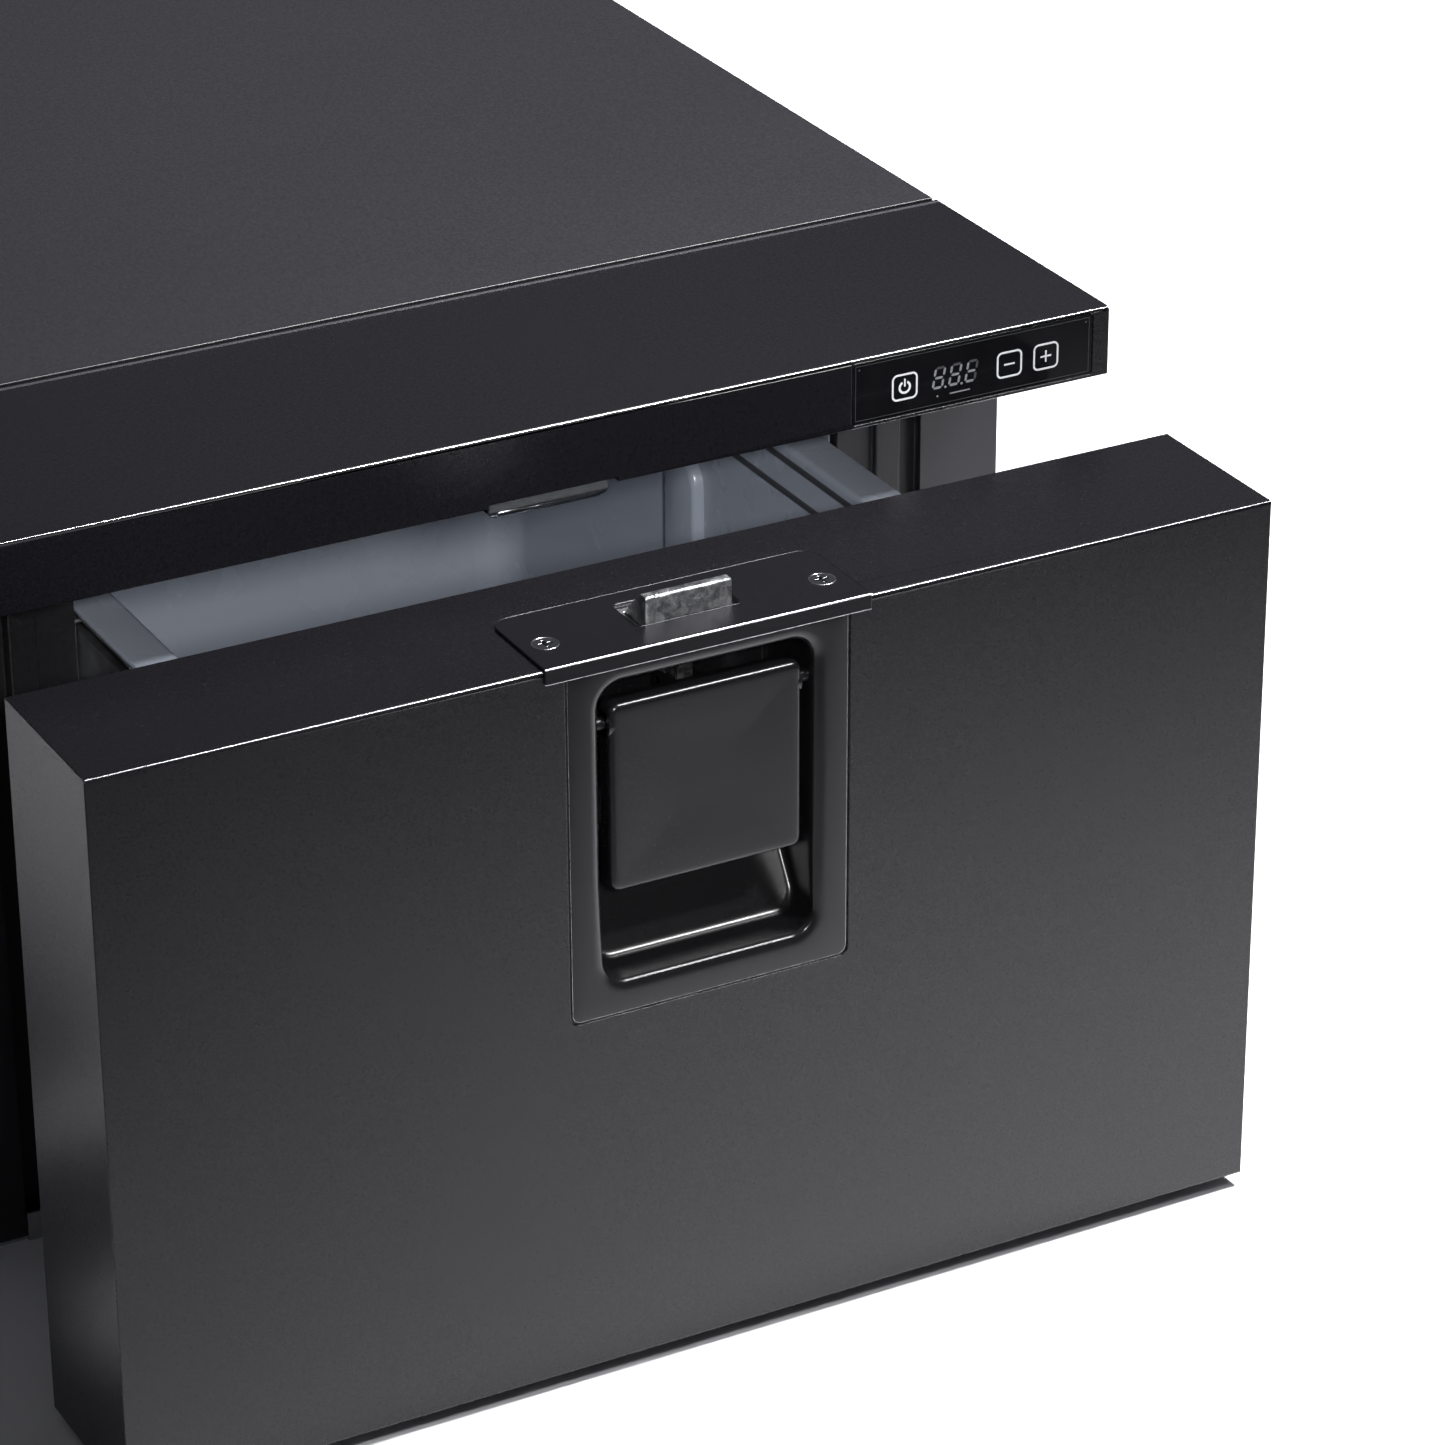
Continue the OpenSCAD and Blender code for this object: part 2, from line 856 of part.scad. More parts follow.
// Rubber grommets between the plate and the compressor's feet
module compressor_grommets() {
    color([0.1, 0.1, 0.1])
        for (x = [-1, 1], y = [-1, 1])
            translate([comp_x + x * (foot_x - 9), comp_y + y * 18, 2 * pan_t])
                difference() {
                    union() {
                        cylinder(h = comp_z0 - 3 - 2 * pan_t, d = 17);
                        cylinder(h = comp_z0 + 2 - 2 * pan_t, d = 7.9);
                        translate([0, 0, comp_z0 + 2 - 2 * pan_t])
                            cylinder(h = 3, d = 13);
                    }
                    translate([0, 0, 4])
                        cylinder(h = 40, d = 4.5);
                }
}

// Electronic driver beside the compressor
module compressor_driver() {
    right = comp_x - compressor_d / 2 - comp_flange - 2;
    color([0.12, 0.12, 0.13])
        union() {
            span([right - 33, comp_y - 40, 40], [right, comp_y + 40, 112]);
            for (i = [0 : 7])
                span([right - 36, comp_y - 36 + i * 10, 46], [right - 33 + eps, comp_y - 34 + i * 10, 106]);
            for (y = [-34, 30])
                span([right - 30, comp_y + y, 2 * pan_t], [right - 22, comp_y + y + 4, 40 + eps]);
        }
}

// Tube-and-fin condenser with end plates that also carry the fan
module condenser() {
    half = fan_side / 2;
    z0 = fan_z - half;
    fins = 17;
    tubes = 5;
    tube_pitch = (fan_side - 32) / (tubes - 1);
    color("silver")
        union() {
            for (i = [0 : fins - 1])
                span([fan_x - half + 4 + i * (fan_side - 9) / (fins - 1), cond_y, z0 + 2],
                     [fan_x - half + 4.6 + i * (fan_side - 9) / (fins - 1), cond_y + cond_d, z0 + fan_side]);
            for (i = [0 : tubes - 1])
                rod([fan_x - half - end_t, pipe_y, z0 + 16 + i * tube_pitch],
                    [fan_x + half + end_t, pipe_y, z0 + 16 + i * tube_pitch], pipe_d);
            for (x = [fan_x - half - end_t, fan_x + half])
                span([x, cond_y, pan_t], [x + end_t, fan_y + fan_t, z0 + fan_side + 4]);
            for (i = [0, tubes - 1])
                rod([fan_x - half - end_t - 6, pipe_y, z0 + 16 + i * tube_pitch],
                    [fan_x - half, pipe_y, z0 + 16 + i * tube_pitch], 6);
        }
}

// Square fan housing with its motor hub
module fan_frame() {
    half = fan_side / 2;
    hub_d = 38;
    color([0.07, 0.07, 0.07])
        translate([fan_x, fan_y, fan_z])
            difference() {
                union() {
                    difference() {
                        span([-half, 0, -half], [half, fan_t, half]);
                        translate([0, fan_t + 1, 0])
                            rotate([90, 0, 0])
                                cylinder(h = fan_t + 2, d = fan_side - 6);
                    }
                    translate([0, fan_t, 0])
                        rotate([90, 0, 0])
                            cylinder(h = 4, d = hub_d);
                    for (a = [45, 135, 225, 315])
                        rotate([0, a, 0])
                            span([hub_d / 2 - 2, fan_t - 4, -2], [fan_side / 2 - 2, fan_t, 2]);
                }
                translate([0, fan_t - 1, 0])
                    rotate([90, 0, 0])
                        cylinder(h = 10, d = 3.1);
                for (x = [-1, 1], z = [-1, 1])
                    translate([x * (half - 7.5), fan_t + 1, z * (half - 7.5)])
                        rotate([90, 0, 0])
                            cylinder(h = fan_t + 2, d = 4.4);
            }
}

// Fan rotor: hub, shaft and seven pitched blades
module fan_rotor() {
    hub_d = 40;
    blades = 7;
    blade_r = fan_side / 2 - 5;
    color([0.1, 0.1, 0.1])
        translate([fan_x, fan_y, fan_z])
            union() {
                translate([0, fan_t - 5, 0])
                    rotate([90, 0, 0])
                        cylinder(h = fan_t - 7, d = hub_d);
                translate([0, fan_t - 1.5, 0])
                    rotate([90, 0, 0])
                        cylinder(h = 6, d = 3);
                intersection() {
                    for (i = [0 : blades - 1])
                        rotate([0, i * 360 / blades, 0])
                            translate([hub_d / 2 - 3, fan_t / 2 - 1, 0])
                                rotate([38, 0, 0])
                                    translate([0, -1, -14])
                                        cube([blade_r, 2, 28]);
                    translate([0, fan_t - 5, 0])
                        rotate([90, 0, 0])
                            cylinder(h = fan_t - 7, r = blade_r);
                }
            }
}

// Filter drier: a capsule with tapered ends
module filter_drier() {
    color("peru")
        translate([drier_x, pipe_y, drier_z0]) {
            translate([0, 0, 10])
                cylinder(h = drier_h - 20, d = drier_d);
            cylinder(h = 10, d1 = 8, d2 = drier_d);
            translate([0, 0, drier_h - 10])
                cylinder(h = 10, d1 = drier_d, d2 = 6);
        }
}

// Suction line from the evaporator back to the compressor
module suction_line() {
    stub_z = comp_z0 + comp_h * 0.84;
    color("peru")
        pipe([[suction_x, cavity_rear - 2, line_z], [suction_x, comp_y - 15, line_z],
              [suction_x, comp_y - 15, stub_z], [comp_x + stub_x, comp_y - 15, stub_z]], pipe_d);
}

// Discharge line from the compressor to the condenser
module discharge_line() {
    stub_z = comp_z0 + comp_h * 0.72;
    inlet_x0 = fan_x - fan_side / 2 - end_t - 6;
    inlet_z0 = fan_z + fan_side / 2 - 16;
    color("peru")
        pipe([[comp_x + stub_x, comp_y, stub_z], [turn_x, comp_y, stub_z], [turn_x, comp_y, inlet_z0],
              [inlet_x0 - 8, comp_y, inlet_z0], [inlet_x0 - 8, pipe_y, inlet_z0],
              [inlet_x0, pipe_y, inlet_z0]], 6);
}

// Liquid line from the condenser to the drier
module liquid_line() {
    outlet_x = fan_x - fan_side / 2 - end_t - 6;
    outlet_z = fan_z - fan_side / 2 + 16;
    color("peru")
        pipe([[outlet_x, pipe_y, outlet_z], [drier_x, pipe_y, outlet_z],
              [drier_x, pipe_y, drier_z0]], 6);
}

// Capillary from the drier to the evaporator
module capillary_line() {
    color("peru")
        pipe([[drier_x, pipe_y, drier_z0 + drier_h], [drier_x, pipe_y, line_z],
              [cap_x, pipe_y, line_z], [cap_x, cavity_rear - 2, line_z]], cap_d);
}

// Two-pin low-voltage inlet in the back panel
module power_inlet() {
    color([0.1, 0.1, 0.1])
        difference() {
            union() {
                translate([inlet_x, rear_y, inlet_z])
                    rotate([90, 0, 0])
                        linear_extrude(22)
                            rounded_rect(25.6, 15.6, 1.8);
                span([inlet_x - 18, rear_y - sheet - 2, inlet_z - 10],
                     [inlet_x + 18, rear_y - sheet, inlet_z + 10]);
            }
            translate([inlet_x, rear_y + 1, inlet_z])
                rotate([90, 0, 0])
                    linear_extrude(13)
                        rounded_rect(21, 11, 1.2);
        }
    color("gold")
        for (x = [-5, 5])
            translate([inlet_x + x, rear_y - 3, inlet_z])
                rotate([90, 0, 0])
                    cylinder(h = 9, d = 3);
}

// ---------- drawer front ----------

// Side outline of the folded front: y across, z down from the top
module front_outline(wall) {
    bend = 1.6 - wall;
    difference() {
        translate([wall, -front_h + wall])
            square([front_t - wall + (wall > 0 ? 1 : 0), front_h - 2 * wall]);
        for (z = [-wall - bend + eps, -front_h + wall - eps])
            translate([wall - eps, z])
                square([bend, bend]);
    }
    for (z = [-wall - bend, -front_h + wall + bend])
        translate([wall + bend, z])
            circle(bend);
}

// Folded steel front with the latch cut-out
module drawer_front_skin() {
    plate_z1 = -plate_top + plate_gap;
    plate_z0 = -plate_top - plate_h - plate_gap;
    color([0.11, 0.11, 0.12])
        at_drawer()
            difference() {
                translate([-half_front, 0, 0])
                    rotate([90, 0, 90])
                        linear_extrude(front_w)
                            front_outline(0);
                translate([-half_front + sheet, 0, 0])
                    rotate([90, 0, 90])
                        linear_extrude(front_w - 2 * sheet)
                            front_outline(sheet);
                upright_plate(plate_w + 2 * plate_gap, plate_z0, plate_z1, plate_r, -1, sheet + 1);
                span([-slot_w / 2, slot_y - 0.5, -sheet - 1], [slot_w / 2, slot_y + slot_d + 0.5, 1]);
                for (x = [-1, 1])
                    translate([x * cover_screw_x, cover_screw_y, -sheet - 1])
                        cylinder(h = sheet + 2, d = screw_head_d + 0.6);
            }
}

// Foam inside the drawer front, with the latch's pocket
module drawer_front_foam() {
    half = half_front - sheet;
    pocket_x = cup_w / 2 + plate_t + 2.5;
    cup_bottom = cup_top + cup_h + 4;
    color("khaki")
        at_drawer()
            difference() {
                intersection() {
                    translate([-half, 0, 0])
                        rotate([90, 0, 90])
                            linear_extrude(2 * half)
                                front_outline(sheet);
                    span([-half, 0, -front_h], [half, front_t - inner_t, 0]);
                }
                span([-pocket_x, 0, -cup_bottom], [pocket_x, cup_d + plate_t + 2.5, 0]);
                span([-plate_w / 2 - 1, 0, -plate_top - plate_h - 1], [plate_w / 2 + 1, plate_t + 0.1, 0]);
                span([-cover_w / 2 + 0.5, 0, -sheet - guide_t - 0.5], [cover_w / 2 - 0.5, cover_d + 1, 0]);
                for (x = [-1, 1])
                    translate([x * cover_screw_x, cover_screw_y, -16])
                        cylinder(h = 16, d = screw_d + 1);
                rail_screw_holes(3.6);
            }
}

// Plastic inner panel of the drawer front
module drawer_front_liner() {
    half = half_front - sheet;
    color([0.3, 0.3, 0.32])
        at_drawer()
            difference() {
                span([-half, front_t - inner_t, -front_h + sheet], [half, front_t, -sheet]);
                rail_screw_holes(3.6);
            }
}

// Hollow sealing gasket on the inner panel
module door_gasket() {
    color([0.06, 0.06, 0.06])
        translate([0, open_y - housing_y, 0])
            opening_ring(gasket_edge, gasket_edge + gasket_w, front_y - seal_gap,
                         front_y + band_sink - gasket_air, 6);
}

// Depth of the bin's rim from its front to its rear
function rim_front() = bin_y - 1;
function rim_rear() = bin_y + bin_d + 4;

// Plan of the bin, grown by d
module bin_plan(d, r) {
    translate([0, bin_y + bin_d / 2])
        rounded_rect(2 * half_bin + 2 * d, bin_d + 2 * d, r);
}

// Lift-out bin with a rim and a pair of divider pilasters
module bin() {
    z0 = cavity_floor_z + bin_floor_air - top_z;
    z1 = rim_z - top_z;
    rib_y = bin_y + 200;
    rib_w = 26;
    rib_top = z1 - 27;
    color([0.55, 0.6, 0.66])
        at_drawer()
            union() {
                difference() {
                    union() {
                        translate([0, 0, z0])
                            linear_extrude(z1 - z0)
                                bin_plan(0, 20);
                        translate([0, (rim_front() + rim_rear()) / 2, z1 - bin_t])
                            linear_extrude(bin_t)
                                rounded_rect(cavity_w - 2 * rim_air, rim_rear() - rim_front(), 12);
                    }
                    translate([0, 0, z0 + bin_t])
                        linear_extrude(z1 - z0)
                            bin_plan(-bin_t, 20 - bin_t);
                }
                for (s = [0, 1])
                    mirror([s, 0, 0])
                        translate([half_bin - bin_t - 5, rib_y, 0]) {
                            span([0, -rib_w / 2, z0 + eps], [5 + eps, rib_w / 2, rib_top - rib_w / 2]);
                            translate([0, 0, rib_top - rib_w / 2])
                                rotate([0, 90, 0])
                                    cylinder(h = 5 + eps, d = rib_w);
                        }
            }
}

// Places of the rail rivets from the inner channel's front end
function rivet_y() = [24, slide_len / 2, slide_len - 40];

// Puts a rivet at each place, z along the slide's width, on both sides
module rail_rivet_places() {
    for (side = [-1, 1])
        at_slide(side, rest_open)
            for (y = rivet_y())
                translate([slide_w, y, 0])
                    rotate([0, 90, 0])
                        children();
}

// Steel rail that carries the bin's rim on the inner channel
module bin_rail(side) {
    y0 = front_t;
    y1 = bin_y + bin_d - 4;
    z0 = slide_z - slide_h / 2 - top_z;
    z1 = rail_top - top_z;
    color([0.6, 0.6, 0.62])
        difference() {
            at_drawer()
                mirror([side > 0 ? 0 : 1, 0, 0])
                    union() {
                        span([rail_x, y0, z0], [rail_x + rail_t, y1, z1]);
                        span([rail_x, y0 + 10, z1 - rail_t], [half_cavity - 2, y1, z1]);
                        span([rail_x - 24, y0, z0], [rail_x + rail_t, y0 + rail_t, z1]);
                    }
            rail_rivet_places()
                translate([0, 0, -10])
                    cylinder(h = 20, d = 4);
            at_drawer()
                rail_screw_holes(4.2);
        }
}
module bin_rail_left() { bin_rail(-1); }
module bin_rail_right() { bin_rail(1); }

// Heights of the rail screws, from the drawer's top
function rail_screw_z() = [slide_z - 14 - top_z, slide_z + 12 - top_z];

// Holes of the rail screws through the front tabs
module rail_screw_holes(d) {
    for (x = [-1, 1], z = rail_screw_z())
        translate([x * (rail_x - 12), front_t + rail_t + 1, z])
            rotate([90, 0, 0])
                cylinder(h = 14, d = d);
}

// Low screws that hold the rail tabs to the drawer front
module rail_screws() {
    color("gray")
        at_drawer()
            for (x = [-1, 1], z = rail_screw_z())
                translate([x * (rail_x - 12), front_t + rail_t, z])
                    rotate([-90, 0, 0])
                        difference() {
                            union() {
                                cylinder(h = 2, d = 7.5);
                                translate([0, 0, -11])
                                    cylinder(h = 11 + eps, d = 3.6);
                            }
                            translate([0, 0, 2])
                                cross_recess(4, 1.2);
                        }
}

// Rivets between the inner channels and the bin rails
module rail_rivets() {
    color("silver")
        rail_rivet_places()
            union() {
                translate([0, 0, -slide_t - 0.9])
                    cylinder(h = 0.9, d = 7);
                translate([0, 0, -slide_t - eps])
                    cylinder(h = slide_t + rail_t + 2 * eps, d = 4);
                translate([0, 0, rail_t])
                    cylinder(h = 0.9, d = 7);
            }
}

// ---------- latch ----------

// Side outline of the recessed cup, grown by a wall: y across, z down
module cup_outline(wall, front) {
    bottom = -cup_top - cup_h;
    polygon([
        [front, bottom - wall],
        [wall > 0 ? 0 : front, bottom - wall],
        [12, bottom + 4.5 - wall],
        [cup_d - 2 + wall, bottom + 40 - wall],
        [cup_d + wall, bottom + 48],
        [cup_d + wall, -cup_top + wall],
        [front, -cup_top + wall],
    ]);
}

// The cup as a solid prism with round corners, grown by a wall
module cup_solid(wall, front) {
    intersection() {
        translate([-cup_w / 2 - wall, 0, 0])
            rotate([90, 0, 90])
                linear_extrude(cup_w + 2 * wall)
                    cup_outline(wall, front);
        upright_plate(cup_w + 2 * wall, -cup_top - cup_h - wall, -cup_top + wall,
                      cup_r + wall, front - 1, cup_d + wall + 1);
    }
}

// Pressed latch plate with its recessed cup and spring seat
module latch_pan() {
    color([0.09, 0.09, 0.1])
        at_drawer()
            union() {
                difference() {
                    union() {
                        upright_plate(plate_w, -plate_top - plate_h, -plate_top, plate_r, 0, plate_t);
                        cup_solid(plate_t, 0);
                    }
                    cup_solid(0, -1);
                    span([-bolt_w / 2 - 1.2, bolt_y - 1, -cup_top - 1],
                         [bolt_w / 2 + 1.2, tail_y1 + 0.8, -cup_top + plate_t + 1]);
                    pin_hole(0);
                }
                span([-7, cup_d - 18, -seat_drop - seat_t], [7, cup_d + eps, -seat_drop]);
            }
}

// Hole for the paddle pin, with a clearance
module pin_hole(air) {
    translate([-plate_w / 2, pivot_y, -pivot_drop])
        rotate([0, 90, 0])
            cylinder(h = plate_w, d = pin_d + 2 * air);
}

// Paddle pin held in the cup's side walls
module paddle_pin() {
    half = cup_w / 2 + plate_t;
    color("silver")
        at_drawer()
            rod([-half, pivot_y, -pivot_drop], [half, pivot_y, -pivot_drop], pin_d);
}

// Pull paddle with its ears, crank arms and cross pin
module paddle() {
    half = paddle_w / 2;
    bottom = -paddle_top - paddle_h;
    crank_y = pivot_y + crank_r;
    color([0.09, 0.09, 0.1])
        at_drawer()
            difference() {
                union() {
                    difference() {
                        upright_plate(paddle_w, bottom, -paddle_top, 3, paddle_y, paddle_y + paddle_d);
                        upright_plate(paddle_w - 2 * paddle_wall, bottom + paddle_wall,
                                      -paddle_top - paddle_wall, 2, paddle_y + paddle_face,
                                      paddle_y + paddle_d + 1);
                    }
                    for (s = [0, 1])
                        mirror([s, 0, 0]) {
                            translate([half - paddle_wall - 3, pivot_y, -pivot_drop])
                                rotate([0, 90, 0])
                                    cylinder(h = paddle_wall + 3, d = 11);
                            span([tail_w / 2 + 1, paddle_y + paddle_face - eps, -pivot_drop - 3.5],
                                 [tail_w / 2 + 1 + crank_t, crank_y, -pivot_drop + 3.5]);
                            translate([tail_w / 2 + 1, crank_y, -pivot_drop])
                                rotate([0, 90, 0])
                                    cylinder(h = crank_t, d = 7);
                        }
                    rod([-tail_w / 2 - 1 - eps, crank_y, -pivot_drop],
                        [tail_w / 2 + 1 + eps, crank_y, -pivot_drop], pin_d);
                }
                pin_hole(pin_air);
            }
}

// Side outline of the bolt head: vertical face, flat tip, bevel to the rear
module bolt_outline() {
    tip = 3.2;
    polygon([
        [bolt_y, -4],
        [bolt_y, bolt_rise],
        [bolt_y + tip, bolt_rise],
        [bolt_y + bolt_d, bolt_rise - bolt_d + tip],
        [bolt_y + bolt_d, -4],
    ]);
}

// Die-cast slam bolt with its slotted tail
module latch_bolt() {
    half = bolt_w / 2;
    color([0.7, 0.7, 0.72])
        at_drawer()
            difference() {
                union() {
                    translate([-half, 0, 0])
                        rotate([90, 0, 90])
                            linear_extrude(bolt_w)
                                bolt_outline();
                    span([-tail_w / 2, tail_y0, -tail_end], [tail_w / 2, tail_y1, -4 + eps]);
                }
                span([-tail_w, tail_y0 + 2, -pivot_drop - 3.3], [tail_w, tail_y1 - 2, -pivot_drop + 3.3]);
                translate([-half + 4, bolt_y + 5, -5])
                    cube([1.6, bolt_d, bolt_rise + 6]);
            }
}

// Coil spring under the bolt's tail, drawn as rings joined by short links
module bolt_spring() {
    rings = 7;
    length = seat_drop - tail_end;
    pitch = (length - spring_wire) / (rings - 1);
    ring_r = (spring_d - spring_wire) / 2;
    color("silver")
        at_drawer()
            translate([0, pivot_y + crank_r - 2, -seat_drop + spring_wire / 2])
                union() {
                    for (i = [0 : rings - 1])
                        translate([0, 0, i * pitch])
                            rotate_extrude()
                                translate([ring_r, 0])
                                    circle(d = spring_wire);
                    for (i = [0 : rings - 2])
                        translate([ring_r * (i % 2 == 0 ? 1 : -1), 0, i * pitch])
                            cylinder(h = pitch, d = spring_wire * 0.8);
                }
}

// Steel guide plate for the bolt, also the nut plate of the cover screws
module bolt_guide() {
    half = cover_w / 2 - 1.5;
    color("silver")
        at_drawer()
            difference() {
                span([-half, 4, -sheet - guide_t], [half, cover_d - 1, -sheet]);
                span([-bolt_w / 2 - 0.4, bolt_y - 0.4, -9], [bolt_w / 2 + 0.4, bolt_y + bolt_d + 0.4, 1]);
                for (x = [-1, 1])
                    translate([x * cover_screw_x, cover_screw_y, -9])
                        cylinder(h = 10, d = screw_d);
            }
}

// Outside of the cover's bend, seen from the side, clear of the drawer's edge
module cover_bend(r) {
    difference() {
        translate([r - cover_t, cover_t - r])
            circle(r);
        translate([0, -2 * r])
            square(2 * r);
    }
}

// Bent cover over the drawer's top edge, with the bolt's slot
module latch_cover() {
    color([0.11, 0.11, 0.12])
        at_drawer()
            difference() {
                union() {
                    linear_extrude(cover_t) {
                        translate([-cover_w / 2, -cover_t + 1])
                            square([cover_w, cover_d - cover_r + cover_t - 1]);
                        translate([-cover_w / 2 + cover_r, 0])
                            square([cover_w - 2 * cover_r, cover_d]);
                        for (x = [-1, 1])
                            translate([x * (cover_w / 2 - cover_r), cover_d - cover_r])
                                circle(cover_r);
                    }
                    span([-cover_w / 2, -cover_t, -cover_lip], [cover_w / 2, 0, cover_t - 1]);
                    translate([-cover_w / 2, 0, 0])
                        rotate([90, 0, 90])
                            linear_extrude(cover_w)
                                cover_bend(1);
                }
                translate([0, slot_y + slot_d / 2, -1])
                    linear_extrude(cover_t + 2)
                        rounded_rect(slot_w, slot_d, 2);
                for (x = [-1, 1])
                    translate([x * cover_screw_x, cover_screw_y, cover_t])
                        flush_hole(screw_head_d, screw_d, 2.3, 4);
            }
}

// The cover's two flush screws
module latch_cover_screws() {
    color([0.1, 0.1, 0.1])
        at_drawer()
            for (x = [-1, 1])
                translate([x * cover_screw_x, cover_screw_y, cover_t])
                    flush_screw(screw_head_d, screw_d, 2.3, 14);
}

base_pan();
threaded_inserts();
outer_wrapper();
rear_panel();
rear_screws();
body_insulation();
cavity_liner();
front_frame();
control_housing();
control_tray();
control_overlay();
led_display();
control_board();
touch_springs();
strike();
strike_screws();
interior_light();
slide_outer_left();
slide_outer_right();
slide_outer_screws();
evaporator();
compressor();
compressor_plate();
compressor_grommets();
compressor_driver();
condenser();
fan_frame();
filter_drier();
suction_line();
discharge_line();
liquid_line();
capillary_line();
power_inlet();
fan_rotor();
drawer_front_skin();
drawer_front_foam();
drawer_front_liner();
door_gasket();
bin();
bin_rail_left();
bin_rail_right();
rail_screws();
rail_rivets();
slide_inner_left();
slide_inner_right();
latch_pan();
latch_cover();
latch_cover_screws();
bolt_guide();
paddle_pin();
paddle();
latch_bolt();
bolt_spring();
slide_mid_left();
slide_mid_right();
cage_outer_left();
cage_outer_right();
cage_inner_left();
cage_inner_right();
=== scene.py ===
"""Looks of a compressor drawer refrigerator, built around its fixed mechanical frame.

The sheet-metal, slide and cooling parts keep their own solids and get rounded edges and
a finish. The pressed latch cup, the paddle, the bolt, the bin, the gasket and the key
graphics are new surfaces worked out from the frame's own sizes. Lengths are in metres.
"""
import logging
import math
from dataclasses import dataclass
from enum import Enum
from typing import Callable, Sequence

import bpy
import numpy as np
from mathutils import Matrix, Vector


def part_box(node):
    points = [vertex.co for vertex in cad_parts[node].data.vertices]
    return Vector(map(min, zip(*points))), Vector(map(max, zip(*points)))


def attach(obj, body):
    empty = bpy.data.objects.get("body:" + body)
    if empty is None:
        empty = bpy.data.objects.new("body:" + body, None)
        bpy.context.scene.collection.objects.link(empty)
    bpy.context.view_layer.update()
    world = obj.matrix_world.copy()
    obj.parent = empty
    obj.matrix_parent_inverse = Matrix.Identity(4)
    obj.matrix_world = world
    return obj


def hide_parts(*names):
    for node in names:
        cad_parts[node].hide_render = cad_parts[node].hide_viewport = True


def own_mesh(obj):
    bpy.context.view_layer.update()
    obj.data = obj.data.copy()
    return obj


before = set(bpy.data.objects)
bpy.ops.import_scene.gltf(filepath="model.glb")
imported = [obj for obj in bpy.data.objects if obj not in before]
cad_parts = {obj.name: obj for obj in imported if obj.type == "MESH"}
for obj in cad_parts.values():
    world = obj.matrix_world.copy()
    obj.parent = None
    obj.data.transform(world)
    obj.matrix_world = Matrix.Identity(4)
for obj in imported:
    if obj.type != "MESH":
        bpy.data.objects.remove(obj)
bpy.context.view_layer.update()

MM = 0.001
# Radius, sink and end gap of the thin bright wires laid along bends as painted highlight lines.
BEND_HIGHLIGHT_RADIUS = 0.15 * MM
BEND_HIGHLIGHT_SUNK = 0.24 * MM
BEND_HIGHLIGHT_END = 0.5 * MM
LOG = logging.getLogger("drawer_refrigerator")


# ---------------------------------------------------------------- meshes

class Plane(Enum):
    """The plane that a closed outline lies in, with the way it is stacked."""

    FRONT = (0, 2, 1)
    PLAN = (0, 1, 2)
    SIDE = (1, 2, 0)


def rounded_outline(width: float, height: float, radius: float, corner: int = 12,
                    side: int = 8) -> np.ndarray:
    """Points of a rectangle with round corners, counter-clockwise from its right side.

    Each corner is a quarter circle about a centre one radius in from both sides, and
    each side is an even run of points between two corners.

    Args:
        width: Full width of the outline.
        height: Full height of the outline.
        radius: Corner radius.
        corner: Steps round one corner.
        side: Steps along one side.

    Returns:
        An array of (4 * (corner + side), 2) points.
    """
    radius = min(radius, width / 2 - 1e-6, height / 2 - 1e-6)
    turns = np.linspace(0, np.pi / 2, corner, endpoint=False)
    runs = []
    for quarter in range(4):
        angle = quarter * np.pi / 2
        centre = np.array([(width / 2 - radius) * (1 if quarter in (0, 3) else -1),
                           (height / 2 - radius) * (1 if quarter in (0, 1) else -1)])
        arc = centre + radius * np.stack([np.cos(turns + angle), np.sin(turns + angle)], 1)
        end = centre + radius * np.array([math.cos(angle + np.pi / 2), math.sin(angle + np.pi / 2)])
        after = (quarter + 1) % 4
        next_centre = np.array([(width / 2 - radius) * (1 if after in (0, 3) else -1),
                                (height / 2 - radius) * (1 if after in (0, 1) else -1)])
        start = next_centre + radius * np.array([math.cos(angle + np.pi / 2),
                                                 math.sin(angle + np.pi / 2)])
        share = np.linspace(0, 1, side, endpoint=False)[:, None]
        runs += [arc, end + (start - end) * share]
    return np.concatenate(runs)


@dataclass(frozen=True)
class Ring:
    """One outline of a stack: its size, corner radius, centre and level."""

    width: float
    height: float
    radius: float
    level: float
    across: float = 0.0
    up: float = 0.0


def ring_stack(rings: Sequence[Ring], plane: Plane, corner: int = 12, side: int = 8,
               shape: Callable[[np.ndarray], np.ndarray] | None = None) -> np.ndarray:
    """Grid of points of a surface that passes through each ring in turn.

    Args:
        rings: The outlines, in the order that the surface passes through them.
        plane: Plane of the outlines.
        corner: Steps round one corner.
        side: Steps along one side.
        shape: Optional change of the finished points, as a function of the whole array.

    Returns:
        An array of (rings, points, 3).
    """
    first, second, third = plane.value
    grid = np.zeros((len(rings), 4 * (corner + side), 3))
    for row, ring in enumerate(rings):
        outline = rounded_outline(ring.width, ring.height, ring.radius, corner, side)
        grid[row, :, first] = outline[:, 0] + ring.across
        grid[row, :, second] = outline[:, 1] + ring.up
        grid[row, :, third] = ring.level
    return shape(grid) if shape else grid


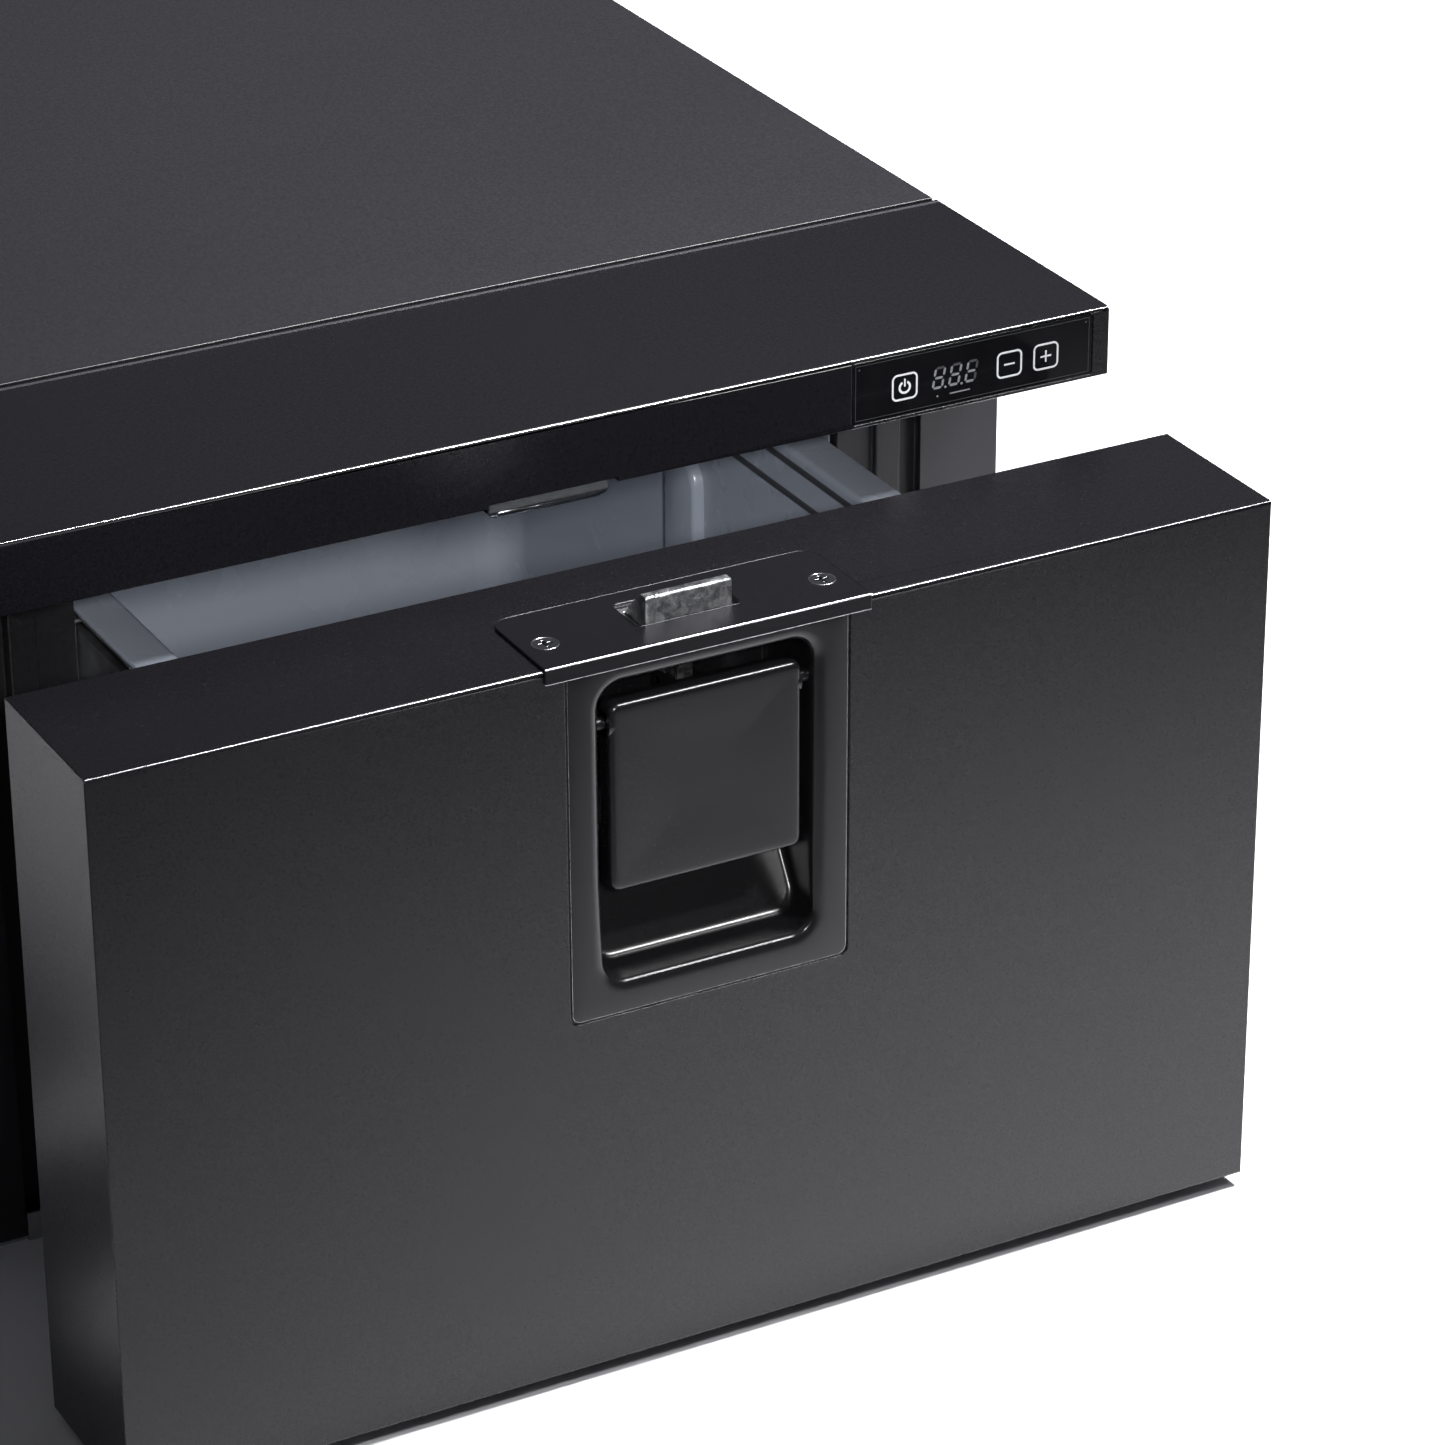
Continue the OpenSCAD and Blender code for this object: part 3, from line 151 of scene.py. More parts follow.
class Shell:
    """Collects closed surfaces and makes one mesh object of them."""

    def __init__(self) -> None:
        """Starts with no surfaces."""
        self.points: list[np.ndarray] = []
        self.faces: list[tuple[int, ...]] = []
        self.count = 0

    def grid(self, grid: np.ndarray, cap_first: bool = True, cap_last: bool = True,
             loop_rows: bool = False) -> "Shell":
        """Adds a grid of quads that is closed along each row.

        Args:
            grid: Points as (rows, points, 3).
            cap_first: Whether the first row is closed by a face.
            cap_last: Whether the last row is closed by a face.
            loop_rows: Whether the last row joins the first, as on a ring.

        Returns:
            This shell.
        """
        rows, cols = grid.shape[:2]
        index = np.arange(rows * cols).reshape(rows, cols) + self.count
        if loop_rows:
            index = np.vstack([index, index[:1]])
        a, b = index[:-1], index[1:]
        quads = np.stack([a, np.roll(a, -1, 1), np.roll(b, -1, 1), b], -1).reshape(-1, 4)
        self.faces += [tuple(q) for q in quads.tolist()]
        if cap_first and not loop_rows:
            self.faces.append(tuple(index[0, ::-1].tolist()))
        if cap_last and not loop_rows:
            self.faces.append(tuple(index[-1].tolist()))
        self.points.append(grid.reshape(-1, 3))
        self.count += rows * cols
        return self

    def prism(self, outline: np.ndarray, levels: Sequence[float], insets: Sequence[float],
              plane: Plane) -> "Shell":
        """Adds an outline carried along the plane's third axis, drawn in at each level.

        A point at inset d moves towards the outline's middle by d along both axes, which
        gives the ends their small chamfer.

        Args:
            outline: Points as (n, 2), counter-clockwise.
            levels: Place of each ring along the third axis.
            insets: How far each ring is drawn in.
            plane: Plane of the outline.

        Returns:
            This shell.
        """
        first, second, third = plane.value
        middle = (outline.max(0) + outline.min(0)) / 2
        reach = (outline.max(0) - outline.min(0)) / 2
        grid = np.zeros((len(levels), len(outline), 3))
        for row, (level, inset) in enumerate(zip(levels, insets)):
            drawn = middle + (outline - middle) * (1 - inset / reach)
            grid[row, :, first] = drawn[:, 0]
            grid[row, :, second] = drawn[:, 1]
            grid[row, :, third] = level
        return self.grid(grid)

    def block(self, low: Sequence[float], high: Sequence[float], round_off: float,
              plane: Plane = Plane.FRONT) -> "Shell":
        """Adds a box with softened edges.

        Args:
            low: Lowest corner.
            high: Highest corner.
            round_off: Width of the softened edges.
            plane: Plane of the outlines that the box is stacked from.

        Returns:
            This shell.
        """
        first, second, third = plane.value
        low, high = np.array(low, float), np.array(high, float)
        size, mid = high - low, (high + low) / 2
        rings = [Ring(size[first] - 2 * i, size[second] - 2 * i, round_off, level,
                      mid[first], mid[second])
                 for i, level in ((round_off, low[third]), (0.0, low[third] + round_off),
                                  (0.0, high[third] - round_off), (round_off, high[third]))]
        return self.grid(ring_stack(rings, plane, corner=4, side=2))

    def rod(self, start: Sequence[float], end: Sequence[float], radius: float,
            round_off: float = 0.0003, steps: int = 32) -> "Shell":
        """Adds a round rod between two points, with softened ends.

        Args:
            start: Middle of one end.
            end: Middle of the other end.
            radius: Rod radius.
            round_off: Width of the softened ends.
            steps: Points round the rod.

        Returns:
            This shell.
        """
        start, end = np.array(start, float), np.array(end, float)
        axis = (end - start) / np.linalg.norm(end - start)
        helper = np.array([0, 0, 1.0]) if abs(axis[2]) < 0.9 else np.array([1.0, 0, 0])
        u = np.cross(axis, helper)
        u /= np.linalg.norm(u)
        v = np.cross(axis, u)
        angle = np.linspace(0, 2 * np.pi, steps, endpoint=False)
        circle = np.cos(angle)[:, None] * u + np.sin(angle)[:, None] * v
        rows = [(start, radius - round_off), (start + axis * round_off, radius),
                (end - axis * round_off, radius), (end, radius - round_off)]
        return self.grid(np.stack([centre + circle * r for centre, r in rows]))

    def wire(self, path: np.ndarray, radius: float, normal: Sequence[float], closed: bool = False,
             around: int = 10) -> "Shell":
        """Adds a thin round wire along a flat path.

        Each point of the path carries a circle spanned by the path's plane normal and
        the direction across the path, which is the cross of its tangent and that normal.

        Args:
            path: Points as (n, 3).
            radius: Wire radius.
            normal: Normal of the plane that the path lies in.
            closed: Whether the path's ends meet.
            around: Points round the wire.

        Returns:
            This shell.
        """
        if closed:
            tangent = np.roll(path, -1, axis=0) - np.roll(path, 1, axis=0)
        else:
            tangent = np.gradient(path, axis=0)
        tangent = tangent / np.linalg.norm(tangent, axis=1)[:, None]
        across = np.cross(tangent, np.asarray(normal, float))
        turn = np.linspace(0, 2 * np.pi, around, endpoint=False)
        grid = path[:, None] + radius * (np.cos(turn)[None, :, None] * across[:, None]
                                         + np.sin(turn)[None, :, None] * np.asarray(normal, float))
        return self.grid(grid, cap_first=not closed, cap_last=not closed, loop_rows=closed)

    def line(self, near: float, far: float, y: float, z: float, radius: float) -> "Shell":
        """Adds a thin round wire along X.

        Args:
            near: Its first end along X.
            far: Its other end along X.
            y: Its place along Y.
            z: Its height.
            radius: Wire radius.

        Returns:
            This shell.
        """
        return self.wire(np.linspace((near, y, z), (far, y, z), 3), radius, (0, 0, 1))

    def build(self, name: str, body: str, slot: str, smooth_angle: float = 32.0) -> bpy.types.Object:
        """Makes the mesh object, its faces outward, riding on a body.

        Args:
            name: Name of the piece.
            body: Name of the moving body that it rides on.
            slot: Not used.
            smooth_angle: Edges flatter than this, in degrees, are shaded smooth.

        Returns:
            The new object.
        """
        mesh = bpy.data.meshes.new(name)
        mesh.from_pydata(np.concatenate(self.points).tolist(), [], self.faces)
        mesh.validate()
        outward(mesh)
        mesh.shade_smooth()
        mesh.set_sharp_from_angle(angle=math.radians(smooth_angle))
        piece = bpy.data.objects.new(name, mesh)
        bpy.context.scene.collection.objects.link(piece)
        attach(piece, body)
        return piece


def outward(mesh: bpy.types.Mesh) -> None:
    """Turns every face of a mesh outward.

    Args:
        mesh: The mesh, made of closed shells.
    """
    import bmesh
    work = bmesh.new()
    work.from_mesh(mesh)
    bmesh.ops.recalc_face_normals(work, faces=work.faces)
    work.to_mesh(mesh)
    work.free()


def arc(start: float, end: float, steps: int) -> np.ndarray:
    """Angles in radians from start to end, both in degrees."""
    return np.radians(np.linspace(start, end, steps))


def round_edges(piece: bpy.types.Object, width: float, segments: int = 2,
                angle: float = 38.0, merge: bool = False) -> None:
    """Gives a frame solid its small rounded edges, as modifiers that leave the mesh alone.

    Args:
        piece: The solid's object.
        width: Width of the rounding.
        segments: Steps across the rounding.
        angle: Edges sharper than this, in degrees, are rounded.
        merge: Whether the triangles of each flat face are merged first.
    """
    weld = piece.modifiers.new("join", "WELD")
    weld.merge_threshold = 2e-6
    if merge:
        flat = piece.modifiers.new("one_face", "DECIMATE")
        flat.decimate_type = "DISSOLVE"
        flat.angle_limit = math.radians(0.4)
    bevel = piece.modifiers.new("rounding", "BEVEL")
    bevel.width = width
    bevel.segments = segments
    bevel.limit_method = "ANGLE"
    bevel.angle_limit = math.radians(angle)
    bevel.use_clamp_overlap = False
    bevel.harden_normals = True
    bevel.miter_outer = "MITER_ARC"


# ---------------------------------------------------------------- finishes

Socket = bpy.types.NodeSocket


class Nodes:
    """Short ways to add and join nodes of one tree."""

    def __init__(self, tree: bpy.types.NodeTree) -> None:
        """Keeps the tree."""
        self.tree = tree

    def add(self, kind: str, **values: object) -> bpy.types.Node:
        """Adds a node, and sets its own attributes and then its inputs by name.

        Args:
            kind: Node type without the ShaderNode prefix.
            values: Attribute or input values; spaces in input names are underscores.

        Returns:
            The node.
        """
        node = self.tree.nodes.new("ShaderNode" + kind)
        for key, value in values.items():
            if hasattr(node, key):
                setattr(node, key, value)
                continue
            socket = node.inputs[int(key[1:])] if key[0] == "i" and key[1:].isdigit() \
                else node.inputs[key.replace("_", " ")]
            if isinstance(value, bpy.types.NodeSocket):
                self.tree.links.new(value, socket)
            else:
                socket.default_value = value
        return node

    def math(self, operation: str, a: object, b: object = 0.0, clamp: bool = False) -> Socket:
        """Adds a Math node and returns its result."""
        return self.add("Math", operation=operation, use_clamp=clamp, i0=a, i1=b).outputs[0]

    def scale_to(self, value: Socket, low: float, high: float, to_low: float = 0.0,
                 to_high: float = 1.0) -> Socket:
        """Maps a value from one range to another, clamped."""
        return self.add("MapRange", Value=value, From_Min=low, From_Max=high, To_Min=to_low,
                        To_Max=to_high).outputs[0]

    def mix(self, share: object, a: object, b: object) -> Socket:
        """Mixes two colours.

        Args:
            share: Share of the second colour, from 0 to 1.
            a: First colour.
            b: Second colour.

        Returns:
            The mixed colour.
        """
        node = self.tree.nodes.new("ShaderNodeMix")
        node.data_type = "RGBA"
        for socket, value in ((node.inputs[0], share), (node.inputs[6], a), (node.inputs[7], b)):
            if isinstance(value, bpy.types.NodeSocket):
                self.tree.links.new(value, socket)
            else:
                socket.default_value = value
        return node.outputs[2]


class Effect(Enum):
    """Surface effects shared by several finishes, each a node group."""

    SPECKLE = "powder_speckle"
    BRUSHED = "drawn_lines"
    CAST = "cast_skin"
    CELLS = "foam_cells"
    CLOUDS = "soft_clouds"


def effect_group(effect: Effect) -> bpy.types.NodeTree:
    """The node group of an effect, built once.

    Inputs are Position, Scale and Amount; outputs are Mask, from 0 to 1, and Height.
    The mask is fine noise for powder, stretched noise for drawn metal, clouds with pits
    for a casting, cells for foam, and slow clouds for the variation of a large face.

    Args:
        effect: Which effect.

    Returns:
        The node group.
    """
    found = bpy.data.node_groups.get(effect.value)
    if found:
        return found
    tree = bpy.data.node_groups.new(effect.value, "ShaderNodeTree")
    tree.interface.new_socket("Position", in_out="INPUT", socket_type="NodeSocketVector")
    for name, value in (("Scale", 1.0), ("Amount", 1.0)):
        tree.interface.new_socket(name, in_out="INPUT",
                                  socket_type="NodeSocketFloat").default_value = value
    for name in ("Mask", "Height"):
        tree.interface.new_socket(name, in_out="OUTPUT", socket_type="NodeSocketFloat")
    nodes = Nodes(tree)
    source = nodes.tree.nodes.new("NodeGroupInput")
    result = nodes.tree.nodes.new("NodeGroupOutput")
    place = nodes.add("VectorMath", operation="SCALE", i0=source.outputs["Position"])
    tree.links.new(source.outputs["Scale"], place.inputs["Scale"])
    place = place.outputs[0]
    if effect is Effect.SPECKLE:
        fine = nodes.add("TexNoise", Vector=place, Scale=1.0, Detail=3.0, Roughness=0.62).outputs[0]
        coarse = nodes.add("TexNoise", Vector=place, Scale=0.34, Detail=2.0, Roughness=0.5).outputs[0]
        mask = nodes.scale_to(nodes.math("ADD", fine, nodes.math("MULTIPLY", coarse, 0.6)), 0.62, 1.02)
    elif effect is Effect.BRUSHED:
        stretched = nodes.add("Mapping", Vector=place, Scale=(0.02, 1.0, 1.0)).outputs[0]
        mask = nodes.scale_to(nodes.add("TexNoise", Vector=stretched, Scale=1.0, Detail=4.0,
                                        Roughness=0.7).outputs[0], 0.3, 0.7)
    elif effect is Effect.CAST:
        clouds = nodes.add("TexNoise", Vector=place, Scale=0.22, Detail=5.0, Roughness=0.68,
                           Distortion=0.6).outputs[0]
        pits = nodes.add("TexVoronoi", Vector=place, Scale=1.6, feature="SMOOTH_F1").outputs[0]
        mask = nodes.scale_to(nodes.math("ADD", clouds, nodes.math("MULTIPLY", pits, 0.25)), 0.45, 0.85)
    elif effect is Effect.CELLS:
        cells = nodes.add("TexVoronoi", Vector=place, Scale=1.0, feature="F1").outputs[0]
        mask = nodes.scale_to(cells, 0.1, 0.8)
    else:
        mask = nodes.scale_to(nodes.add("TexNoise", Vector=place, Scale=1.0, Detail=3.0,
                                        Roughness=0.5).outputs[0], 0.35, 0.68)
    tree.links.new(nodes.math("MULTIPLY", mask, source.outputs["Amount"]), result.inputs["Mask"])
    tree.links.new(nodes.math("MULTIPLY", mask, source.outputs["Amount"]), result.inputs["Height"])
    return tree


def dust_group() -> bpy.types.NodeTree:
    """The node group of settled dust, built once.

    The mask is high where a face looks up, broken up by noise.

    Returns:
        The node group, with the inputs Position and Amount and the output Mask.
    """
    name = "settled_dust"
    found = bpy.data.node_groups.get(name)
    if found:
        return found
    tree = bpy.data.node_groups.new(name, "ShaderNodeTree")
    tree.interface.new_socket("Position", in_out="INPUT", socket_type="NodeSocketVector")
    tree.interface.new_socket("Amount", in_out="INPUT", socket_type="NodeSocketFloat")
    tree.interface.new_socket("Mask", in_out="OUTPUT", socket_type="NodeSocketFloat")
    nodes = Nodes(tree)
    source = nodes.tree.nodes.new("NodeGroupInput")
    result = nodes.tree.nodes.new("NodeGroupOutput")
    normal = nodes.add("NewGeometry").outputs["Normal"]
    up = nodes.add("SeparateXYZ", Vector=normal).outputs[2]
    specks = nodes.add("TexNoise", Vector=source.outputs["Position"], Scale=420.0, Detail=4.0,
                       Roughness=0.75).outputs[0]
    patches = nodes.add("TexNoise", Vector=source.outputs["Position"], Scale=16.0, Detail=3.0).outputs[0]
    broken = nodes.math("MULTIPLY", nodes.scale_to(specks, 0.5, 0.78), nodes.scale_to(patches, 0.3, 0.7))
    level = nodes.math("MULTIPLY", broken, nodes.scale_to(up, 0.35, 1.0))
    tree.links.new(nodes.math("MULTIPLY", level, source.outputs["Amount"]), result.inputs["Mask"])
    return tree


@dataclass(frozen=True)
class Finish:
    """One finish: a base colour varied by an effect, with its gloss and relief."""

    name: str
    colour: tuple[float, float, float]
    second: tuple[float, float, float]
    effect: Effect = Effect.SPECKLE
    grain: float = 1500.0
    rough: tuple[float, float] = (0.42, 0.52)
    metal: float = 0.0
    relief: float = 0.00002
    clouds: float = 0.25
    dust: float = 0.15
    coat: float = 0.0
    coat_rough: float = 0.1
    specular: float = 0.5
    glow: float = 0.0

    def material(self) -> bpy.types.Material:
        """The finish's material, built once.

        Returns:
            The material.
        """
        found = bpy.data.materials.get(self.name)
        if found:
            return found
        made = bpy.data.materials.new(self.name)
        made.use_nodes = True
        tree = made.node_tree
        tree.nodes.clear()
        nodes = Nodes(tree)
        place = nodes.add("TexCoord").outputs["Object"]
        fine = self.placed(nodes, effect_group(self.effect), place, Scale=self.grain)
        slow = self.placed(nodes, effect_group(Effect.CLOUDS), place, Scale=9.0)
        dust = self.placed(nodes, dust_group(), place, Amount=self.dust)
        base = nodes.mix(fine.outputs["Mask"], (*self.colour, 1), (*self.second, 1))
        darker = tuple(c * (1 - self.clouds) for c in self.colour)
        share = nodes.math("MULTIPLY", slow.outputs["Mask"], self.clouds)
        base = nodes.mix(share, base, (*darker, 1))
        base = nodes.mix(dust.outputs["Mask"], base, (0.32, 0.31, 0.29, 1))
        rough = nodes.scale_to(fine.outputs["Mask"], 0.0, 1.0, *self.rough)
        spread = min(0.04, 0.4 * self.clouds)
        rough = nodes.math("ADD", rough, nodes.math("MULTIPLY", slow.outputs["Mask"], spread))
        rough = nodes.math("ADD", rough, nodes.math("MULTIPLY", dust.outputs["Mask"], 0.3), clamp=True)
        bump = nodes.add("Bump", Height=fine.outputs["Height"], Distance=self.relief, Strength=1.0)
        shader = nodes.add("BsdfPrincipled", Base_Color=base, Roughness=rough, Metallic=self.metal,
                           Normal=bump.outputs[0], Coat_Weight=self.coat,
                           Coat_Roughness=self.coat_rough, Specular_IOR_Level=self.specular,
                           Emission_Strength=self.glow)
        if self.glow:
            shader.inputs["Emission Color"].default_value = (*self.colour, 1)
        out = nodes.add("OutputMaterial")
        tree.links.new(shader.outputs[0], out.inputs[0])
        made.diffuse_color = (*self.colour, 1)
        return made

    @staticmethod
    def placed(nodes: Nodes, group: bpy.types.NodeTree, place: Socket,
               **values: float) -> bpy.types.Node:
        """Places a node group on the object's coordinates with its own values.

        Args:
            nodes: The material's nodes.
            group: The group.
            place: Object coordinates.
            values: Input values by name.

        Returns:
            The group's node.
        """
        node = nodes.tree.nodes.new("ShaderNodeGroup")
        node.node_tree = group
        nodes.tree.links.new(place, node.inputs["Position"])
        for key, value in values.items():
            node.inputs[key].default_value = value
        return node

    def dress(self, *pieces: bpy.types.Object) -> None:
        """Puts the material on every slot of each piece.

        Args:
            pieces: The pieces.
        """
        for piece in pieces:
            piece.data.materials.clear()
            piece.data.materials.append(self.material())


FRONT_COAT = Finish("front_powder_coat", (0.0030, 0.0028, 0.0038), (0.0060, 0.0056, 0.0074), grain=2300.0,
                    rough=(0.25, 0.29), relief=0.0000008, clouds=0.06, dust=0.0, specular=0.46)
CABINET_COAT = Finish("cabinet_powder_coat", (0.0115, 0.0110, 0.0142), (0.0185, 0.0178, 0.0215), grain=2100.0,
                      rough=(0.32, 0.42), relief=0.000005, clouds=0.10, dust=0.006)
STRIP_COAT = Finish("strip_powder_coat", (0.0046, 0.0043, 0.0058), (0.0078, 0.0073, 0.0096), grain=2100.0,
                    rough=(0.25, 0.29), relief=0.0000008, clouds=0.06, dust=0.0, specular=0.3)
COVER_COAT = Finish("cover_powder_coat", (0.0030, 0.0028, 0.0038), (0.0056, 0.0052, 0.0070), grain=2300.0,
                    rough=(0.30, 0.35), relief=0.0000008, clouds=0.06, dust=0.0, specular=0.28)
LATCH_COAT = Finish("latch_coat", (0.0040, 0.0040, 0.0046), (0.0080, 0.0080, 0.0090), grain=2300.0,
                    rough=(0.20, 0.26), relief=0.000001, clouds=0.06, dust=0.0, specular=0.42)
GALVANISED = Finish("galvanised_steel_skin", (0.42, 0.43, 0.45), (0.58, 0.59, 0.6), Effect.CAST, 260.0,
                    (0.3, 0.46), 1.0, 0.00001, 0.15)
DIE_CAST = Finish("zinc_casting", (0.30, 0.31, 0.33), (0.66, 0.66, 0.67), Effect.CAST, 1000.0,
                  (0.27, 0.5), 1.0, 0.00006, 0.3, 0.0)
DARK_CHROME = Finish("dark_chrome_plate", (0.30, 0.31, 0.34), (0.42, 0.43, 0.46), Effect.CLOUDS, 300.0,
                     (0.07, 0.15), 1.0, 0.000004, 0.2, 0.02)
PIN_STEEL = Finish("blackened_pin", (0.02, 0.02, 0.022), (0.035, 0.035, 0.038), Effect.BRUSHED, 3000.0,
                   (0.24, 0.36), 0.8, 0.000004, 0.1, 0.0)
BLACK_SCREW = Finish("black_oxide", (0.085, 0.085, 0.092), (0.14, 0.14, 0.15), grain=2600.0,
                     rough=(0.14, 0.26), metal=0.9, relief=0.000004, clouds=0.1, dust=0.0)
ZINC_SCREW = Finish("zinc_plate", (0.52, 0.53, 0.53), (0.66, 0.66, 0.64), Effect.CLOUDS, 900.0,
                    (0.2, 0.32), 1.0, 0.000006, 0.1, 0.03)
BALL_STEEL = Finish("cage_and_balls", (0.56, 0.5, 0.34), (0.68, 0.62, 0.44), Effect.CLOUDS, 700.0,
                    (0.2, 0.34), 1.0, 0.000006, 0.1, 0.0)
FRAME_PLASTIC = Finish("frame_plastic_skin", (0.006, 0.006, 0.007), (0.012, 0.012, 0.0135), grain=1400.0,
                       rough=(0.38, 0.5), relief=0.00002, clouds=0.1, dust=0.05)
LINER_PLASTIC = Finish("liner_plastic_skin", (0.342, 0.372, 0.432), (0.350, 0.380, 0.440), Effect.CLOUDS,
                       40.0, (0.265, 0.275), 0.0, 0.0000002, 0.02, 0.0, 0.1)
TRAY_PLASTIC = Finish("tray_plastic_skin", (0.02, 0.02, 0.022), (0.03, 0.03, 0.032), grain=1500.0,
                      rough=(0.5, 0.62), relief=0.00003)
PANEL_PLASTIC = Finish("inner_panel_skin", (0.05, 0.052, 0.056), (0.072, 0.074, 0.08), grain=1100.0,
                       rough=(0.38, 0.5), relief=0.00002, clouds=0.15, dust=0.04)
OVERLAY_GLOSS = Finish("overlay_gloss_skin", (0.0035, 0.0035, 0.0042), (0.005, 0.005, 0.006), Effect.CLOUDS,
                       60.0, (0.08, 0.13), 0.0, 0.000001, 0.05, 0.0, 0.0, 0.03, 0.22)
PRINT_WHITE = Finish("printed_white", (0.62, 0.63, 0.66), (0.78, 0.79, 0.81), Effect.SPECKLE, 2500.0,
                     (0.4, 0.5), 0.0, 0.000002, 0.1, 0.0)
PRINT_GREY = Finish("printed_grey", (0.16, 0.165, 0.18), (0.24, 0.245, 0.26), Effect.SPECKLE, 2500.0,
                    (0.4, 0.5), 0.0, 0.000002, 0.1, 0.0)
PRINT_DIM = Finish("printed_dim", (0.035, 0.036, 0.04), (0.06, 0.061, 0.066), Effect.SPECKLE, 2500.0,
                   (0.4, 0.5), 0.0, 0.000002, 0.1, 0.0)
DISPLAY_GREY = Finish("display_casing", (0.18, 0.18, 0.2), (0.24, 0.24, 0.26), grain=1200.0)
BOARD_GREEN = Finish("solder_mask", (0.012, 0.09, 0.035), (0.02, 0.14, 0.05), Effect.BRUSHED, 900.0,
                     (0.22, 0.34), 0.0, 0.00003, 0.2, 0.05, 0.4)
SPRING_STEEL = Finish("spring_wire", (0.5, 0.5, 0.5), (0.66, 0.66, 0.66), Effect.BRUSHED, 2600.0,
                      (0.2, 0.32), 1.0, 0.000004, 0.1, 0.0)
LAMP_WHITE = Finish("frosted_lamp", (0.85, 0.86, 0.82), (0.9, 0.9, 0.88), Effect.CLOUDS, 300.0,
                    (0.35, 0.45), glow=3.0, dust=0.02)
FOAM = Finish("foamed_insulation", (0.62, 0.5, 0.25), (0.76, 0.66, 0.4), Effect.CELLS, 900.0,
              (0.7, 0.85), 0.0, 0.00015, 0.2, 0.05)
GASKET_RUBBER = Finish("gasket_rubber_skin", (0.011, 0.011, 0.012), (0.02, 0.02, 0.021), grain=1300.0,
                       rough=(0.46, 0.6), relief=0.00002, clouds=0.1, dust=0.06)
# Dark grey of the rings on the bin's inner wall is painted shade.
PAINTED_SHADE_BEAD = Finish("painted_shade_bead", (0.045, 0.046, 0.052), (0.06, 0.061, 0.068), grain=1200.0,
                   rough=(0.42, 0.55), relief=0.00001, clouds=0.1, dust=0.0)
# Bright metal on the thin wires along bends and edges is painted highlight; the strike's roll is real dark
# chrome.
PAINTED_HIGHLIGHT = Finish("painted_highlight", (0.42, 0.42, 0.44), (0.56, 0.56, 0.58), Effect.CLOUDS, 400.0,
                     (0.22, 0.34), 1.0, 0.000002, 0.1, 0.0)
# Dimmer painted highlight for the latch cover's side and rear edges and its slot.
PAINTED_DIM_HIGHLIGHT = Finish("painted_dim_highlight", (0.035, 0.035, 0.038), (0.05, 0.05, 0.054), Effect.CLOUDS, 400.0,
                   (0.3, 0.42), 1.0, 0.000002, 0.1, 0.0)
# Grey of the seam wire and of the band in front of it is painted highlight and painted reflection on the
# black coat.
SEAM_PAINTED_LIGHT = Finish("seam_painted_light", (0.035, 0.034, 0.040), (0.05, 0.049, 0.056), grain=2100.0,
                   rough=(0.3, 0.4), relief=0.000004, clouds=0.1, dust=0.0)
GROMMET_RUBBER = Finish("grommet_rubber_skin", (0.018, 0.018, 0.018), (0.028, 0.028, 0.028), grain=900.0,
                        rough=(0.6, 0.75), relief=0.00004)
EVAPORATOR_SKIN = Finish("rolled_aluminium", (0.62, 0.63, 0.64), (0.74, 0.75, 0.76), Effect.BRUSHED, 1500.0,
                         (0.3, 0.44), 1.0, 0.000008, 0.1, 0.03)
FIN_ALUMINIUM = Finish("fin_aluminium", (0.55, 0.56, 0.57), (0.7, 0.7, 0.71), Effect.BRUSHED, 1200.0,
                       (0.34, 0.46), 1.0, 0.000008, 0.2, 0.2)
SHELL_ENAMEL = Finish("shell_enamel", (0.009, 0.009, 0.01), (0.015, 0.015, 0.016), grain=900.0,
                      rough=(0.16, 0.24), relief=0.00002, coat=0.6, coat_rough=0.12)
HEAT_SINK = Finish("anodised_heat_sink", (0.02, 0.02, 0.022), (0.035, 0.035, 0.038), Effect.BRUSHED, 1800.0,
                   (0.34, 0.46), 0.7, 0.00001)
FAN_PLASTIC = Finish("fan_plastic_skin", (0.014, 0.014, 0.015), (0.024, 0.024, 0.026), grain=1000.0,
                     rough=(0.4, 0.52), relief=0.00003)
COPPER = Finish("drawn_copper", (0.55, 0.24, 0.12), (0.7, 0.36, 0.2), Effect.CLOUDS, 160.0,
                (0.24, 0.42), 1.0, 0.00001, 0.3, 0.05)
BRASS = Finish("turned_brass", (0.55, 0.4, 0.15), (0.68, 0.52, 0.24), Effect.BRUSHED, 2600.0,
               (0.2, 0.34), 1.0, 0.000006, 0.1, 0.0)
INLET_PLASTIC = Finish("inlet_plastic_skin", (0.016, 0.016, 0.017), (0.026, 0.026, 0.028), grain=1300.0,
                       rough=(0.4, 0.5), relief=0.00003)


# ---------------------------------------------------------------- assemblies

def node_object(name: str) -> bpy.types.Object:
    """The object of a frame solid."""
    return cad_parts[name]


def finish_node(name: str, finish: Finish, rounding: float = 0.0, segments: int = 2,
                merge: bool = False) -> None:
    """Dresses a frame solid and rounds its edges.

    Args:
        name: Node name.
        finish: The finish.
        rounding: Width of the rounded edges, or 0 for none.
        segments: Steps across the rounding.
        merge: Whether the triangles of each flat face are merged first.
    """
    piece = node_object(name)
    finish.dress(piece)
    if rounding:
        round_edges(piece, rounding, segments, merge=merge)
    LOG.info("dressed %s", name)


